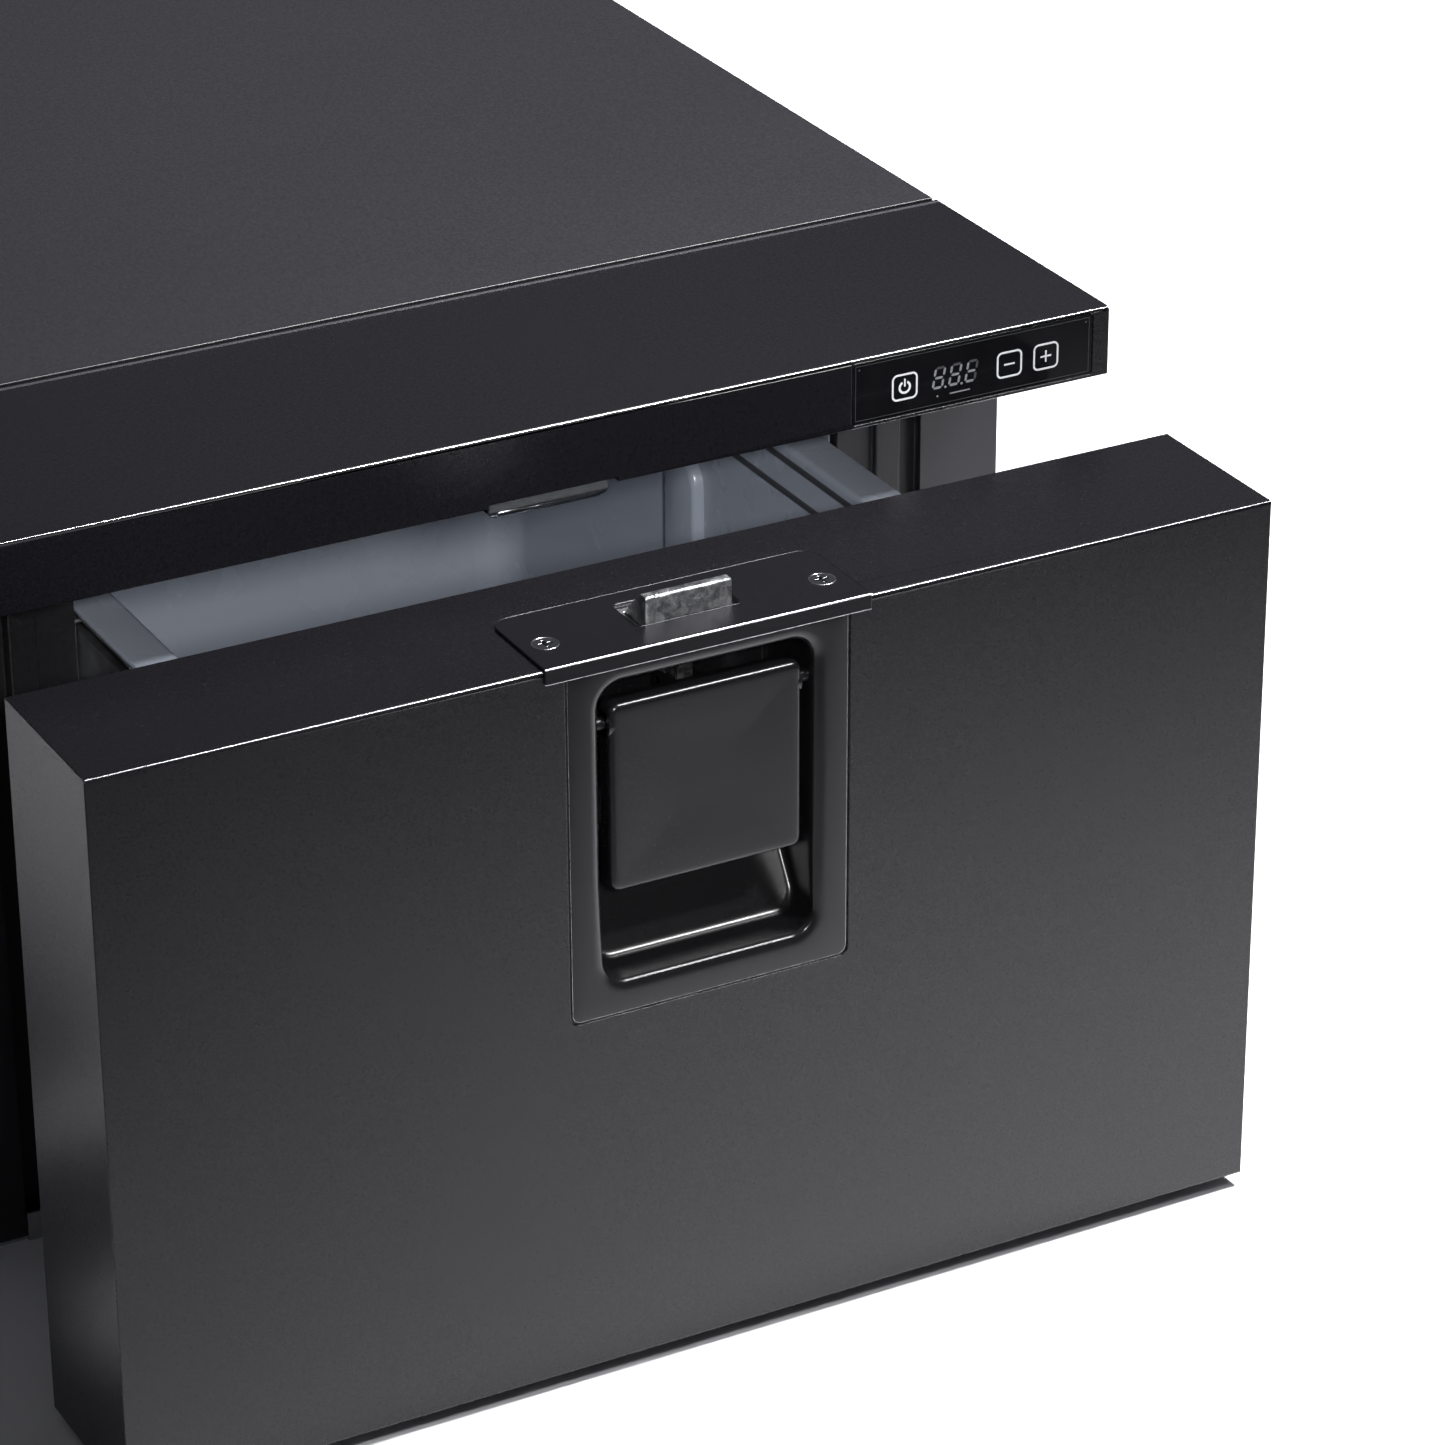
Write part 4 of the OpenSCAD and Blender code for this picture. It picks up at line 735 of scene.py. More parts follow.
def sheet_piece(name: str, grid: np.ndarray, thickness: float, body: str, slot: str,
                face_axis: int, face_sign: float) -> bpy.types.Object:
    """Makes a pressed sheet from the grid of its visible face.

    Args:
        name: Name of the piece.
        grid: Points of the visible face as (rows, points, 3), its last row capped.
        thickness: Sheet thickness, added behind the face.
        body: Moving body that it rides on.
        slot: Slot name, handed on to Shell.build.
        face_axis: Axis that the face looks along.
        face_sign: 1 or -1 along that axis.

    Returns:
        The piece.
    """
    shell = Shell().grid(grid, cap_first=False)
    piece = shell.build(name, body, slot, 40.0)
    normals = np.zeros(len(piece.data.polygons) * 3)
    piece.data.polygons.foreach_get("normal", normals)
    areas = np.zeros(len(piece.data.polygons))
    piece.data.polygons.foreach_get("area", areas)
    if (normals.reshape(-1, 3)[:, face_axis] * areas).sum() * face_sign < 0:
        piece.data.flip_normals()
    wall = piece.modifiers.new("sheet", "SOLIDIFY")
    wall.thickness = thickness
    wall.offset = -1.0
    wall.use_even_offset = False
    return piece


def cut_box(piece: bpy.types.Object, low: Sequence[float], high: Sequence[float]) -> None:
    """Cuts a box out of a piece and applies all its modifiers.

    Args:
        piece: The piece.
        low: Lowest corner of the box.
        high: Highest corner of the box.
    """
    cutter = Shell().block(low, high, 0.0002).build("cutter", "drawer", "black_powder_coat")
    cut = piece.modifiers.new("window", "BOOLEAN")
    cut.object = cutter
    cut.solver = "EXACT"
    bpy.context.view_layer.update()
    made = bpy.data.meshes.new_from_object(piece.evaluated_get(bpy.context.evaluated_depsgraph_get()))
    piece.modifiers.clear()
    piece.data = made
    bpy.data.objects.remove(cutter)


@dataclass
class Cabinet:
    """Steel cabinet, its insulation, liner, sealing frame and lamp."""

    sheet_rounding: float = 0.0004
    frame_rounding: float = 0.0009
    liner_rounding: float = 0.0008

    def dress(self) -> None:
        """Dresses the cabinet's solids."""
        finish_node("outer_wrapper", CABINET_COAT, self.sheet_rounding, 3)
        finish_node("rear_panel", CABINET_COAT, self.sheet_rounding)
        finish_node("base_pan", GALVANISED, self.sheet_rounding)
        finish_node("threaded_inserts", BRASS, self.sheet_rounding)
        finish_node("rear_screws", BLACK_SCREW, 0.0003)
        finish_node("body_insulation", FOAM)
        finish_node("cavity_liner", LINER_PLASTIC, self.liner_rounding)
        finish_node("front_frame", FRAME_PLASTIC, self.frame_rounding, 3)
        finish_node("interior_light", LAMP_WHITE, 0.001, 3)


@dataclass
class CoolingUnit:
    """Compressor, condenser, fan, evaporator and their pipes."""

    rounding: float = 0.0003

    def dress(self) -> None:
        """Dresses the cooling unit's solids."""
        for name, finish in (("evaporator", EVAPORATOR_SKIN), ("compressor", SHELL_ENAMEL),
                             ("compressor_plate", GALVANISED), ("compressor_grommets", GROMMET_RUBBER),
                             ("compressor_driver", HEAT_SINK), ("condenser", FIN_ALUMINIUM),
                             ("fan_frame", FAN_PLASTIC), ("fan_rotor", FAN_PLASTIC),
                             ("filter_drier", COPPER), ("suction_line", COPPER),
                             ("discharge_line", COPPER), ("liquid_line", COPPER),
                             ("capillary_line", COPPER), ("power_inlet", INLET_PLASTIC)):
            piece = node_object(name)
            finish.dress(piece)
            if name in ("compressor_driver", "fan_frame", "power_inlet", "compressor_plate"):
                round_edges(piece, self.rounding)
            LOG.info("dressed %s", name)


@dataclass
class SlideSet:
    """Telescopic slides with their ball cages, rails, screws and rivets."""

    rounding: float = 0.00025

    def dress(self) -> None:
        """Dresses the slides' solids."""
        for side in ("left", "right"):
            for name in ("slide_outer", "slide_mid", "slide_inner", "bin_rail"):
                finish_node(f"{name}_{side}", GALVANISED, self.rounding)
            for name in ("cage_outer", "cage_inner"):
                finish_node(f"{name}_{side}", BALL_STEEL)
        for name in ("slide_outer_screws", "rail_screws", "rail_rivets"):
            finish_node(name, ZINC_SCREW)


class Stroke:
    """Printed shapes on the overlay, as thin slabs in the front plane."""

    def __init__(self, level: float, proud: float) -> None:
        """Keeps where the print lies.

        Args:
            level: The overlay's face, along Y.
            proud: How far the print stands in front of it.
        """
        self.shell = Shell()
        self.back = level + proud
        self.front = level - proud

    def slab(self, outline: np.ndarray) -> None:
        """Adds a filled outline of (n, 2) points in X and Z."""
        self.shell.prism(outline, (self.front, self.back), (0.0, 0.0), Plane.FRONT)

    def loop(self, outer: np.ndarray, inner: np.ndarray) -> None:
        """Adds the band between two outlines.

        Args:
            outer: Outer outline as (n, 2) points in X and Z.
            inner: Inner outline, with as many points.
        """
        grid = np.zeros((4, len(outer), 3))
        for row, (outline, level) in enumerate(((outer, self.back), (outer, self.front),
                                                (inner, self.front), (inner, self.back))):
            grid[row, :, 0], grid[row, :, 2], grid[row, :, 1] = outline[:, 0], outline[:, 1], level
        self.shell.grid(grid, loop_rows=True)

    def bar(self, x0: float, x1: float, z0: float, z1: float) -> None:
        """Adds a filled rectangle."""
        self.slab(np.array([[x0, z0], [x1, z0], [x1, z1], [x0, z1]]))

    def dot(self, x: float, z: float, radius: float) -> None:
        """Adds a filled circle."""
        angle = np.linspace(0, 2 * np.pi, 20, endpoint=False)
        self.slab(np.stack([x + radius * np.cos(angle), z + radius * np.sin(angle)], 1))


@dataclass
class ControlStrip:
    """Control housing with its overlay, keys, display and the strike below."""

    key_w: float = 11.0 * MM
    key_h: float = 10.6 * MM
    key_radius: float = 2.3 * MM
    stroke: float = 0.75 * MM
    symbol: float = 4.6 * MM
    digit_h: float = 8.8 * MM
    digit_w: float = 4.9 * MM
    digit_pitch: float = 7.0 * MM
    slant: float = 0.17
    segment: float = 0.95 * MM
    key_up: float = 1.0 * MM
    power_at: float = 22.3 * MM
    digits_at: float = 43.4 * MM
    minus_at: float = 67.4 * MM
    plus_at: float = 83.3 * MM
    proud: float = 0.04 * MM

    def dress(self) -> None:
        """Dresses the strip's own solids."""
        finish_node("control_housing", STRIP_COAT, 0.00045, 3)
        finish_node("control_tray", TRAY_PLASTIC, 0.0003)
        finish_node("control_overlay", OVERLAY_GLOSS, 0.0003)
        finish_node("led_display", DISPLAY_GREY, 0.0003)
        finish_node("control_board", BOARD_GREEN)
        finish_node("touch_springs", SPRING_STEEL)
        finish_node("strike", DARK_CHROME, 0.0004, 3)
        finish_node("strike_screws", ZINC_SCREW)

    def build(self) -> None:
        """Builds the printed graphics."""
        low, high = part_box("control_overlay")
        self.low, self.high = low, high
        self.middle = (low.z + high.z) / 2 - self.key_up
        self.keys()
        self.border()
        self.digits()
        self.trim()

    def trim(self) -> None:
        """Bright roll of the strike, painted highlight lines along the housing's lower edge and top bend, and
        a painted highlight on the seam behind the strip with a painted reflection band in front of it.
        """
        low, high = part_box("strike")
        roll, round_off = 1.9 * MM, 1.7 * MM
        y, z = low.y + 1.7 * MM, low.z + roll
        strike = Shell().rod((low.x + 2 * MM, y, z), (high.x - 2 * MM, y, z), roll, round_off, 20)
        DARK_CHROME.dress(strike.build("strike_roll", "cabinet", "dark_chrome", 50.0))
        low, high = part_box("control_housing")
        # Thin bright wires along the housing's lower edge and its top bend are painted highlights.
        line = Shell().line(self.low.x, high.x - 0.6 * MM, low.y + 0.35 * MM, low.z + 0.3 * MM, 0.3 * MM)
        PAINTED_HIGHLIGHT.dress(line.build("strip_lower_highlight", "cabinet", "dark_chrome"))
        side = high.x - BEND_HIGHLIGHT_END
        bend = Shell().line(-side, side, low.y + BEND_HIGHLIGHT_SUNK, high.z - BEND_HIGHLIGHT_SUNK, BEND_HIGHLIGHT_RADIUS)
        PAINTED_HIGHLIGHT.dress(bend.build("strip_bend_highlight", "cabinet", "dark_chrome"))
        # The grey wire on the housing's rear top edge is a painted highlight; the grey band about 14 mm in
        # front of it is a painted reflection.
        half, top = high.x - 0.8 * MM, high.z
        seam = Shell().line(-half, half, high.y - 0.3 * MM, top, 0.28 * MM)
        seam.block((-half, high.y - 15.2 * MM, top - 0.3 * MM),
                   (half, high.y - 13.6 * MM, top + 0.04 * MM), 0.02 * MM)
        SEAM_PAINTED_LIGHT.dress(seam.build("strip_seam_painted_light", "cabinet", "grey_powder_coat"))
        LOG.info("built strike_roll, strip_lower_highlight, strip_bend_highlight and strip_seam_painted_light")

    def print_at(self) -> Stroke:
        """A new layer of print on the overlay's face."""
        return Stroke(self.low.y, self.proud)

    def done(self, layer: Stroke, name: str, finish: Finish) -> None:
        """Makes a layer's mesh and dresses it.

        Args:
            layer: The print layer.
            name: Name of the piece.
            finish: Its finish.
        """
        piece = layer.shell.build(name, "cabinet", "overlay_gloss", 30.0)
        finish.dress(piece)
        LOG.info("built %s", name)

    def keys(self) -> None:
        """Outlines of the three keys with their symbols."""
        for name, at in (("power", self.power_at), ("minus", self.minus_at), ("plus", self.plus_at)):
            layer = self.print_at()
            x, z = self.low.x + at, self.middle
            outer = rounded_outline(self.key_w, self.key_h, self.key_radius)
            inner = rounded_outline(self.key_w - 2 * self.stroke, self.key_h - 2 * self.stroke,
                                    self.key_radius - self.stroke)
            layer.loop(outer + (x, z), inner + (x, z))
            half, thin = self.symbol / 2, self.stroke * 0.45
            if name == "power":
                turn = arc(118, 422, 40)
                self.ring_gap(layer, x, z - 0.2 * MM, half * 0.95, turn)
                layer.bar(x - thin, x + thin, z + 0.1 * MM, z + half + 0.9 * MM)
            else:
                layer.bar(x - half, x + half, z - thin, z + thin)
                if name == "plus":
                    layer.bar(x - thin, x + thin, z + thin, z + half)
                    layer.bar(x - thin, x + thin, z - half, z - thin)
            self.done(layer, f"key_print_{name}", PRINT_WHITE)

    def ring_gap(self, layer: Stroke, x: float, z: float, radius: float, turn: np.ndarray) -> None:
        """Adds an open ring: its outer arc out and its inner arc back, as one outline.

        Args:
            layer: The print layer.
            x: Centre along X.
            z: Centre along Z.
            radius: Middle radius.
            turn: Angles along the ring.
        """
        thin = self.stroke * 0.6
        spoke = np.stack([np.cos(turn), np.sin(turn)], 1)
        rows = [spoke * (radius + thin), spoke * (radius - thin)]
        grid = np.zeros((len(turn), 4, 3))
        for column, (row, level) in enumerate(((0, layer.front), (1, layer.front),
                                               (1, layer.back), (0, layer.back))):
            grid[:, column, 0] = rows[row][:, 0] + x
            grid[:, column, 2] = rows[row][:, 1] + z
            grid[:, column, 1] = level
        layer.shell.grid(grid)

    def border(self) -> None:
        """Thin lines along the overlay's edges with a dot in two corners."""
        inset, line = 1.3 * MM, 0.16 * MM
        x0, x1 = self.low.x + inset, self.high.x - inset
        z0, z1 = self.low.z + inset, self.high.z - inset
        layer = self.print_at()
        layer.bar(x0, x1, z1 - line, z1)
        layer.bar(x1 - line, x1, z0, z1 - 2 * line)
        layer.bar(x0, x0 + line, z0, z1 - 2 * line)
        layer.bar(x0 + 2 * line, x1 - 2 * line, z0, z0 + line)
        for x in (x1 - 1.6 * MM, x0 + 1.6 * MM):
            layer.dot(x, z1 - 1.6 * MM, 0.35 * MM)
        self.done(layer, "overlay_border_print", PRINT_DIM)

    def digits(self) -> None:
        """Three slanted seven-part digits with their points and the line below them."""
        bright, dim = self.print_at(), self.print_at()
        start = self.low.x + self.digits_at - self.digit_pitch
        z0 = self.middle - self.digit_h / 2 + 0.6 * MM
        for number in range(3):
            x0 = start + (number - 0.38) * self.digit_pitch
            for index, points in enumerate(self.parts()):
                slanted = points + np.stack([points[:, 1] * self.slant, 0 * points[:, 1]], 1)
                faint = number == 2 and index in (1, 2) or index == 0
                (dim if faint else bright).slab(slanted + (x0, z0))
            if number < 2:
                bright.dot(x0 + self.digit_w + 1.1 * MM, z0 + 0.2 * MM, 0.5 * MM)
        bright.bar(start + 0.75 * self.digit_pitch, start + 2.0 * self.digit_pitch,
                   z0 - 3.1 * MM, z0 - 2.6 * MM)
        bright.dot(start, z0 - 2.9 * MM, 0.4 * MM)
        self.done(bright, "display_print", PRINT_GREY)
        self.done(dim, "display_print_dim", PRINT_DIM)

    def parts(self) -> list[np.ndarray]:
        """Outlines of a digit's seven parts, unslanted, from its lower left corner.

        Each part is a bar with a point at each end, lying along or across; the order is
        top, upper right, lower right, bottom, lower left, upper left, middle.

        Returns:
            Seven arrays of (6, 2) points.
        """
        w, h, s = self.digit_w, self.digit_h, self.segment / 2
        gap = 0.22 * MM
        lying = [(0, w, h - s), (0, w, s), (0, w, h / 2)]
        standing = [(h / 2, h, w - s), (0, h / 2, w - s), (0, h / 2, s), (h / 2, h, s)]
        flat = [np.array([[a + s + gap, z], [a + 2 * s + gap, z - s], [b - 2 * s - gap, z - s],
                          [b - s - gap, z], [b - 2 * s - gap, z + s], [a + 2 * s + gap, z + s]])
                for a, b, z in lying]
        tall = [np.array([[x, a + s + gap], [x + s, a + 2 * s + gap], [x + s, b - 2 * s - gap],
                          [x, b - s - gap], [x - s, b - 2 * s - gap], [x - s, a + 2 * s + gap]])
                for a, b, x in standing]
        return [flat[0], tall[0], tall[1], flat[1], tall[2], tall[3], flat[2]]


@dataclass
class DrawerFront:
    """Thick drawer front: folded skin, foam, inner panel and hollow gasket."""

    opening_radius: float = 4.0 * MM

    def dress(self) -> None:
        """Dresses the front's solids."""
        finish_node("drawer_front_skin", FRONT_COAT, 0.00045, 3)
        finish_node("drawer_front_foam", FOAM)
        finish_node("drawer_front_liner", PANEL_PLASTIC, 0.0006)

    def build(self) -> None:
        """Builds the gasket: a bulb on a bellows foot, carried round the opening."""
        low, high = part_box("door_gasket")
        band = 12.5 * MM
        width, height = high.x - low.x, high.z - low.z
        foot = ((0.0, 0.0), (0.2, 2.0), (1.0, 2.6), (1.7, 3.4), (1.2, 4.2), (0.9, 5.2))
        bulb = [(3.6 - 2.7 * math.cos(a), 5.2 + 3.5 * math.sin(a)) for a in arc(0, 90, 6)[1:]]
        half = list(foot) + bulb
        other = [(band / MM - out, level) for out, level in reversed(half)]
        rings = []
        for out, level in half + other:
            inset = out * MM
            rings.append(Ring(width - 2 * inset, height - 2 * inset,
                              max(self.opening_radius, 14 * MM - inset), low.y + level * MM,
                              0.0, (low.z + high.z) / 2))
        grid = ring_stack(rings, Plane.FRONT, corner=14, side=2)
        piece = Shell().grid(grid, loop_rows=True).build("door_gasket_bulb", "drawer", "gasket_rubber", 50.0)
        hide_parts("door_gasket")
        GASKET_RUBBER.dress(piece)
        self.bend_highlight()
        LOG.info("built door_gasket_bulb and front_bend_highlight")

    def bend_highlight(self) -> None:
        """Painted highlight line along the bend of the front's face and top, clear of the latch cover."""
        low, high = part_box("drawer_front_skin")
        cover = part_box("latch_cover")[1].x + 0.3 * MM
        side = high.x - BEND_HIGHLIGHT_END
        line = Shell()
        for near, far in ((-side, -cover), (cover, side)):
            line.line(near, far, low.y + BEND_HIGHLIGHT_SUNK, high.z - BEND_HIGHLIGHT_SUNK, BEND_HIGHLIGHT_RADIUS)
        PAINTED_HIGHLIGHT.dress(line.build("front_bend_highlight", "drawer", "dark_chrome"))


@dataclass
class Bin:
    """Moulded lift-out bin with a turned-over rim and two pilasters."""

    wall: float = 2.5 * MM
    corner: float = 20 * MM
    rim_corner: float = 12 * MM
    rim_drop: float = 2.5 * MM
    floor_fillet: float = 10 * MM
    half_outside: float = 142 * MM
    wall_front: float = 1.0 * MM
    wall_rear: float = 4.0 * MM
    pilaster_w: float = 26 * MM
    pilaster_at: float = 200 * MM
    pilaster_drop: float = 32 * MM
    # Height and drops below the rim of two dark grey rings on the inner wall, painted shade for the shadow
    # lines under the rim.
    shade_bead_h: float = 3.2 * MM
    shade_bead_drops: tuple[float, float] = (5.5 * MM, 19.0 * MM)

    def build(self) -> None:
        """Builds the bin and replaces its plain solid."""
        low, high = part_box("bin")
        front, rear = low.y + self.wall_front, high.y - self.wall_rear
        depth, middle = rear - front, (rear + front) / 2
        width = 2 * self.half_outside
        rim_w, rim_d, rim_mid = high.x - low.x, high.y - low.y, (high.y + low.y) / 2
        rings = []
        for a in arc(0, 90, 7):
            inset = self.floor_fillet * (1 - math.sin(a))
            rings.append(Ring(width - 2 * inset, depth - 2 * inset, self.corner - 0.4 * inset,
                              low.z + self.floor_fillet * (1 - math.cos(a)), 0, middle))
        under = high.z - self.rim_drop
        lip = 0.9 * MM
        rings += [Ring(width, depth, self.corner, under - lip, 0, middle),
                  Ring(width + lip, depth + lip, self.corner, under, 0, middle),
                  Ring(rim_w - 2 * lip, rim_d - 2 * lip, self.rim_corner, under, 0, rim_mid)]
        for a in arc(-90, 90, 9):
            inset = lip * (1 - math.cos(a))
            rings.append(Ring(rim_w - 2 * inset, rim_d - 2 * inset, self.rim_corner - inset,
                              (under + high.z) / 2 + (high.z - under) / 2 * math.sin(a), 0, rim_mid))
        inner_w, inner_d = width - 2 * self.wall, depth - 2 * self.wall
        turn = 2.4 * MM
        for a in arc(0, 90, 6):
            out = turn * (1 - math.sin(a))
            rings.append(Ring(inner_w + 2 * out, min(inner_d + 2 * out, rim_d - 3 * lip),
                              self.corner - self.wall + out, high.z - turn * (1 - math.cos(a)), 0, middle))
        floor_z, fillet = low.z + self.wall, self.floor_fillet - self.wall
        for a in arc(0, 90, 8):
            inset = fillet * (1 - math.cos(a))
            rings.append(Ring(inner_w - 2 * inset, inner_d - 2 * inset, self.corner - self.wall - 0.4 * inset,
                              floor_z + fillet * (1 - math.sin(a)), 0, middle))
        shell = Shell().grid(ring_stack(rings, Plane.PLAN, corner=12, side=6))
        for side in (-1, 1):
            shell.prism(self.pilaster_outline(front, floor_z, high.z),
                        [side * (inner_w / 2 - at * MM) for at in (-0.5, 0.5, 3.4, 4.5, 5.0)],
                        [0, 0, 0.25 * MM, 1.0 * MM, 2.2 * MM], Plane.SIDE)
        piece = shell.build("bin_tub", "drawer", "liner_plastic", 40.0)
        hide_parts("bin")
        LINER_PLASTIC.dress(piece)
        # Two dark grey rings proud of the inner wall below the rim: painted shade for the shadow lines there.
        shade_beads = Shell()
        for drop in self.shade_bead_drops:
            rings = []
            for out, level in ((0.6, -0.5), (-0.7, -0.3), (-0.7, 0.3), (0.6, 0.5)):
                spread = 2 * out * MM
                rings.append(Ring(inner_w + spread, inner_d + spread, self.corner - self.wall + out * MM,
                                  high.z - drop + level * self.shade_bead_h, 0, middle))
            shade_beads.grid(ring_stack(rings, Plane.PLAN, corner=12, side=4), loop_rows=True)
        PAINTED_SHADE_BEAD.dress(shade_beads.build("bin_rim_shade_beads", "drawer", "gasket_rubber"))
        LOG.info("built bin_tub and bin_rim_shade_beads")

    def pilaster_outline(self, front: float, floor_z: float, rim_z: float) -> np.ndarray:
        """Outline of a pilaster in Y and Z: an upright with a half-round head.

        Args:
            front: The bin's front wall along Y.
            floor_z: Height of the bin's floor.
            rim_z: Height of the rim's top.

        Returns:
            Points as (n, 2).
        """
        radius = self.pilaster_w / 2
        y, head = front + self.pilaster_at, rim_z - self.pilaster_drop - radius
        turn = arc(0, 180, 15)
        top = np.stack([y + radius * np.cos(turn), head + radius * np.sin(turn)], 1)
        foot = np.array([[y - radius, floor_z - 2.2 * MM], [y + radius, floor_z - 2.2 * MM]])
        return np.concatenate([top, foot])


@dataclass
class SlamLatch:
    """Latch in the drawer front: pan, paddle, bolt, spring, cover and guide.

    Depths are measured from the drawer's face and heights from its top.
    """

    plate_w: float = 110 * MM
    plate_radius: float = 3.5 * MM
    sheet: float = 1.5 * MM
    cup_w: float = 84 * MM
    cup_top: float = 11.5 * MM
    cup_bottom: float = 128 * MM
    cup_radius: float = 9 * MM
    cup_depth: float = 34 * MM
    mouth: float = 4.8 * MM
    foot_rise: float = 4.0 * MM
    floor_fillet: float = 2.6 * MM
    paddle_w: float = 76 * MM
    paddle_top: float = 20 * MM
    paddle_bottom: float = 93 * MM
    paddle_y: float = 2 * MM
    paddle_d: float = 8 * MM
    pivot_y: float = 7.5 * MM
    pivot_drop: float = 28.5 * MM
    crank: float = 19 * MM
    pin: float = 5 * MM
    tail_w: float = 6 * MM
    tail_end: float = 40 * MM
    tail_y0: float = 18.1 * MM
    tail_y1: float = 32 * MM
    seat_drop: float = 68 * MM
    bolt_w: float = 34 * MM
    bolt_y: float = 14.8 * MM
    bolt_d: float = 16 * MM
    bolt_rise: float = 11 * MM
    spring_d: float = 9 * MM
    wire: float = 1 * MM
    travel: float = 10.7 * MM
    slot_w: float = 41 * MM
    slot_d: float = 20 * MM
    slot_radius: float = 2 * MM
    slot_y: float = 24 * MM
    screw_x: float = 54.2 * MM
    screw_y: float = 17.6 * MM
    screw_radius: float = 4.8 * MM

    def place(self) -> None:
        """Reads where the drawer's face and top are."""
        low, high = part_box("drawer_front_skin")
        self.face, self.top = low.y, high.z

    def dress(self) -> None:
        """Dresses the latch's own solids."""
        finish_node("latch_cover", COVER_COAT, 0.00045, 3, True)
        finish_node("latch_cover_screws", BLACK_SCREW, 0.00025)
        finish_node("bolt_guide", GALVANISED, 0.0003)
        finish_node("paddle_pin", PIN_STEEL)

    def build(self) -> None:
        """Builds the pressed and cast pieces."""
        self.place()
        self.pan()
        self.paddle()
        self.bolt()
        self.spring()
        self.trim()

    def pan(self) -> None:
        """Latch plate with its cup, pressed from one sheet.

        The face follows rounded outlines drawn inwards. Its depth is the cup's depth at
        that height, times a share that rises over a quarter round at the mouth, a steep
        wall and a quarter round at the floor.
        """
        low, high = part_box("latch_pan")
        plate_top, plate_bottom = high.z, low.z
        plate_h, plate_mid = plate_top - plate_bottom, (plate_top + plate_bottom) / 2
        edge = 0.55 * MM
        rows: list[tuple[Ring, float]] = []
        for a in arc(0, 90, 5):
            inset = edge * (1 - math.cos(a))
            ring = Ring(self.plate_w - 2 * inset, plate_h - 2 * inset, self.plate_radius - inset,
                        self.face + edge * (1 - math.sin(a)), 0, plate_mid)
            rows.append((ring, 0.0))
        cup_h = self.cup_bottom - self.cup_top
        cup_mid = self.top - (self.cup_bottom + self.cup_top) / 2

        def cup_ring(inset: float, share: float, lift: float = 0.0) -> None:
            """Adds an outline of the cup.

            Args:
                inset: How far the outline is drawn in.
                share: Share of the cup's depth.
                lift: How far its lower side is raised.
            """
            radius = max(self.cup_radius - inset, 1.2 * MM)
            rows.append((Ring(self.cup_w - 2 * inset, cup_h - 2 * inset - lift, radius, self.face, 0,
                              cup_mid + lift / 2), share))

        for a in arc(0, 84, 12):
            cup_ring(-self.mouth * (1 - math.sin(a)), self.mouth / self.cup_depth * (1 - math.cos(a)))
        for share in np.linspace(0.16, 0.9, 14):
            cup_ring(0.6 * MM * share, share, self.foot_rise * share)
        for a in arc(15, 90, 8):
            cup_ring(0.6 * MM + self.floor_fillet * (1 - math.cos(a)), 0.9 + 0.1 * math.sin(a),
                     self.foot_rise)
        for inset in np.linspace(0.6 * MM + self.floor_fillet + 1 * MM, self.cup_w / 2 - 1.5 * MM, 20):
            cup_ring(inset, 1.0, self.foot_rise)
        grid = ring_stack([ring for ring, _ in rows], Plane.FRONT, corner=14, side=30)
        shares = np.array([share for _, share in rows])[:, None]
        above = grid[..., 2] - (self.top - self.cup_bottom)
        depth = np.interp(above, np.array([0.0, 4.5, 9.0, 38.0, 42.0, 46.0, 54.0]) * MM,
                          np.array([11.2, 12.2, 14.6, 31.0, 32.6, 33.4, 34.0]) * MM)
        grid[..., 1] += shares * depth
        piece = sheet_piece("latch_pan_pressing", grid, self.sheet, "drawer", "black_powder_coat", 1, -1.0)
        half = self.bolt_w / 2 + 1.2 * MM
        cut_box(piece, (-half, self.face + self.bolt_y - 1 * MM, self.top - self.cup_top - 1 * MM),
                (half, self.face + self.tail_y1 + 0.8 * MM, self.top - self.cup_top + 3 * MM))
        seat_top, seat_back = self.top - self.seat_drop, self.face + self.cup_depth
        seat = Shell().block((-7 * MM, seat_back - 18 * MM, seat_top - 2 * MM),
                             (7 * MM, seat_back + 0.4 * MM, seat_top), 0.3 * MM)
        spring_seat = seat.build("spring_seat", "drawer", "black_powder_coat")
        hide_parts("latch_pan")
        LATCH_COAT.dress(piece, spring_seat)
        seal = []
        for spread, level in ((3.0, 0.92), (3.0, 1.7), (-2.6, 1.7), (-2.6, 0.92)):
            seal.append(Ring(self.plate_w + 2 * spread * MM, plate_h + 2 * spread * MM,
                             self.plate_radius + spread * MM, self.face + level * MM, 0, plate_mid))
        band = Shell().grid(ring_stack(seal, Plane.FRONT, corner=8, side=2), loop_rows=True)
        GASKET_RUBBER.dress(band.build("latch_seal", "drawer", "gasket_rubber"))
        LOG.info("built latch_pan_pressing, spring_seat and latch_seal")

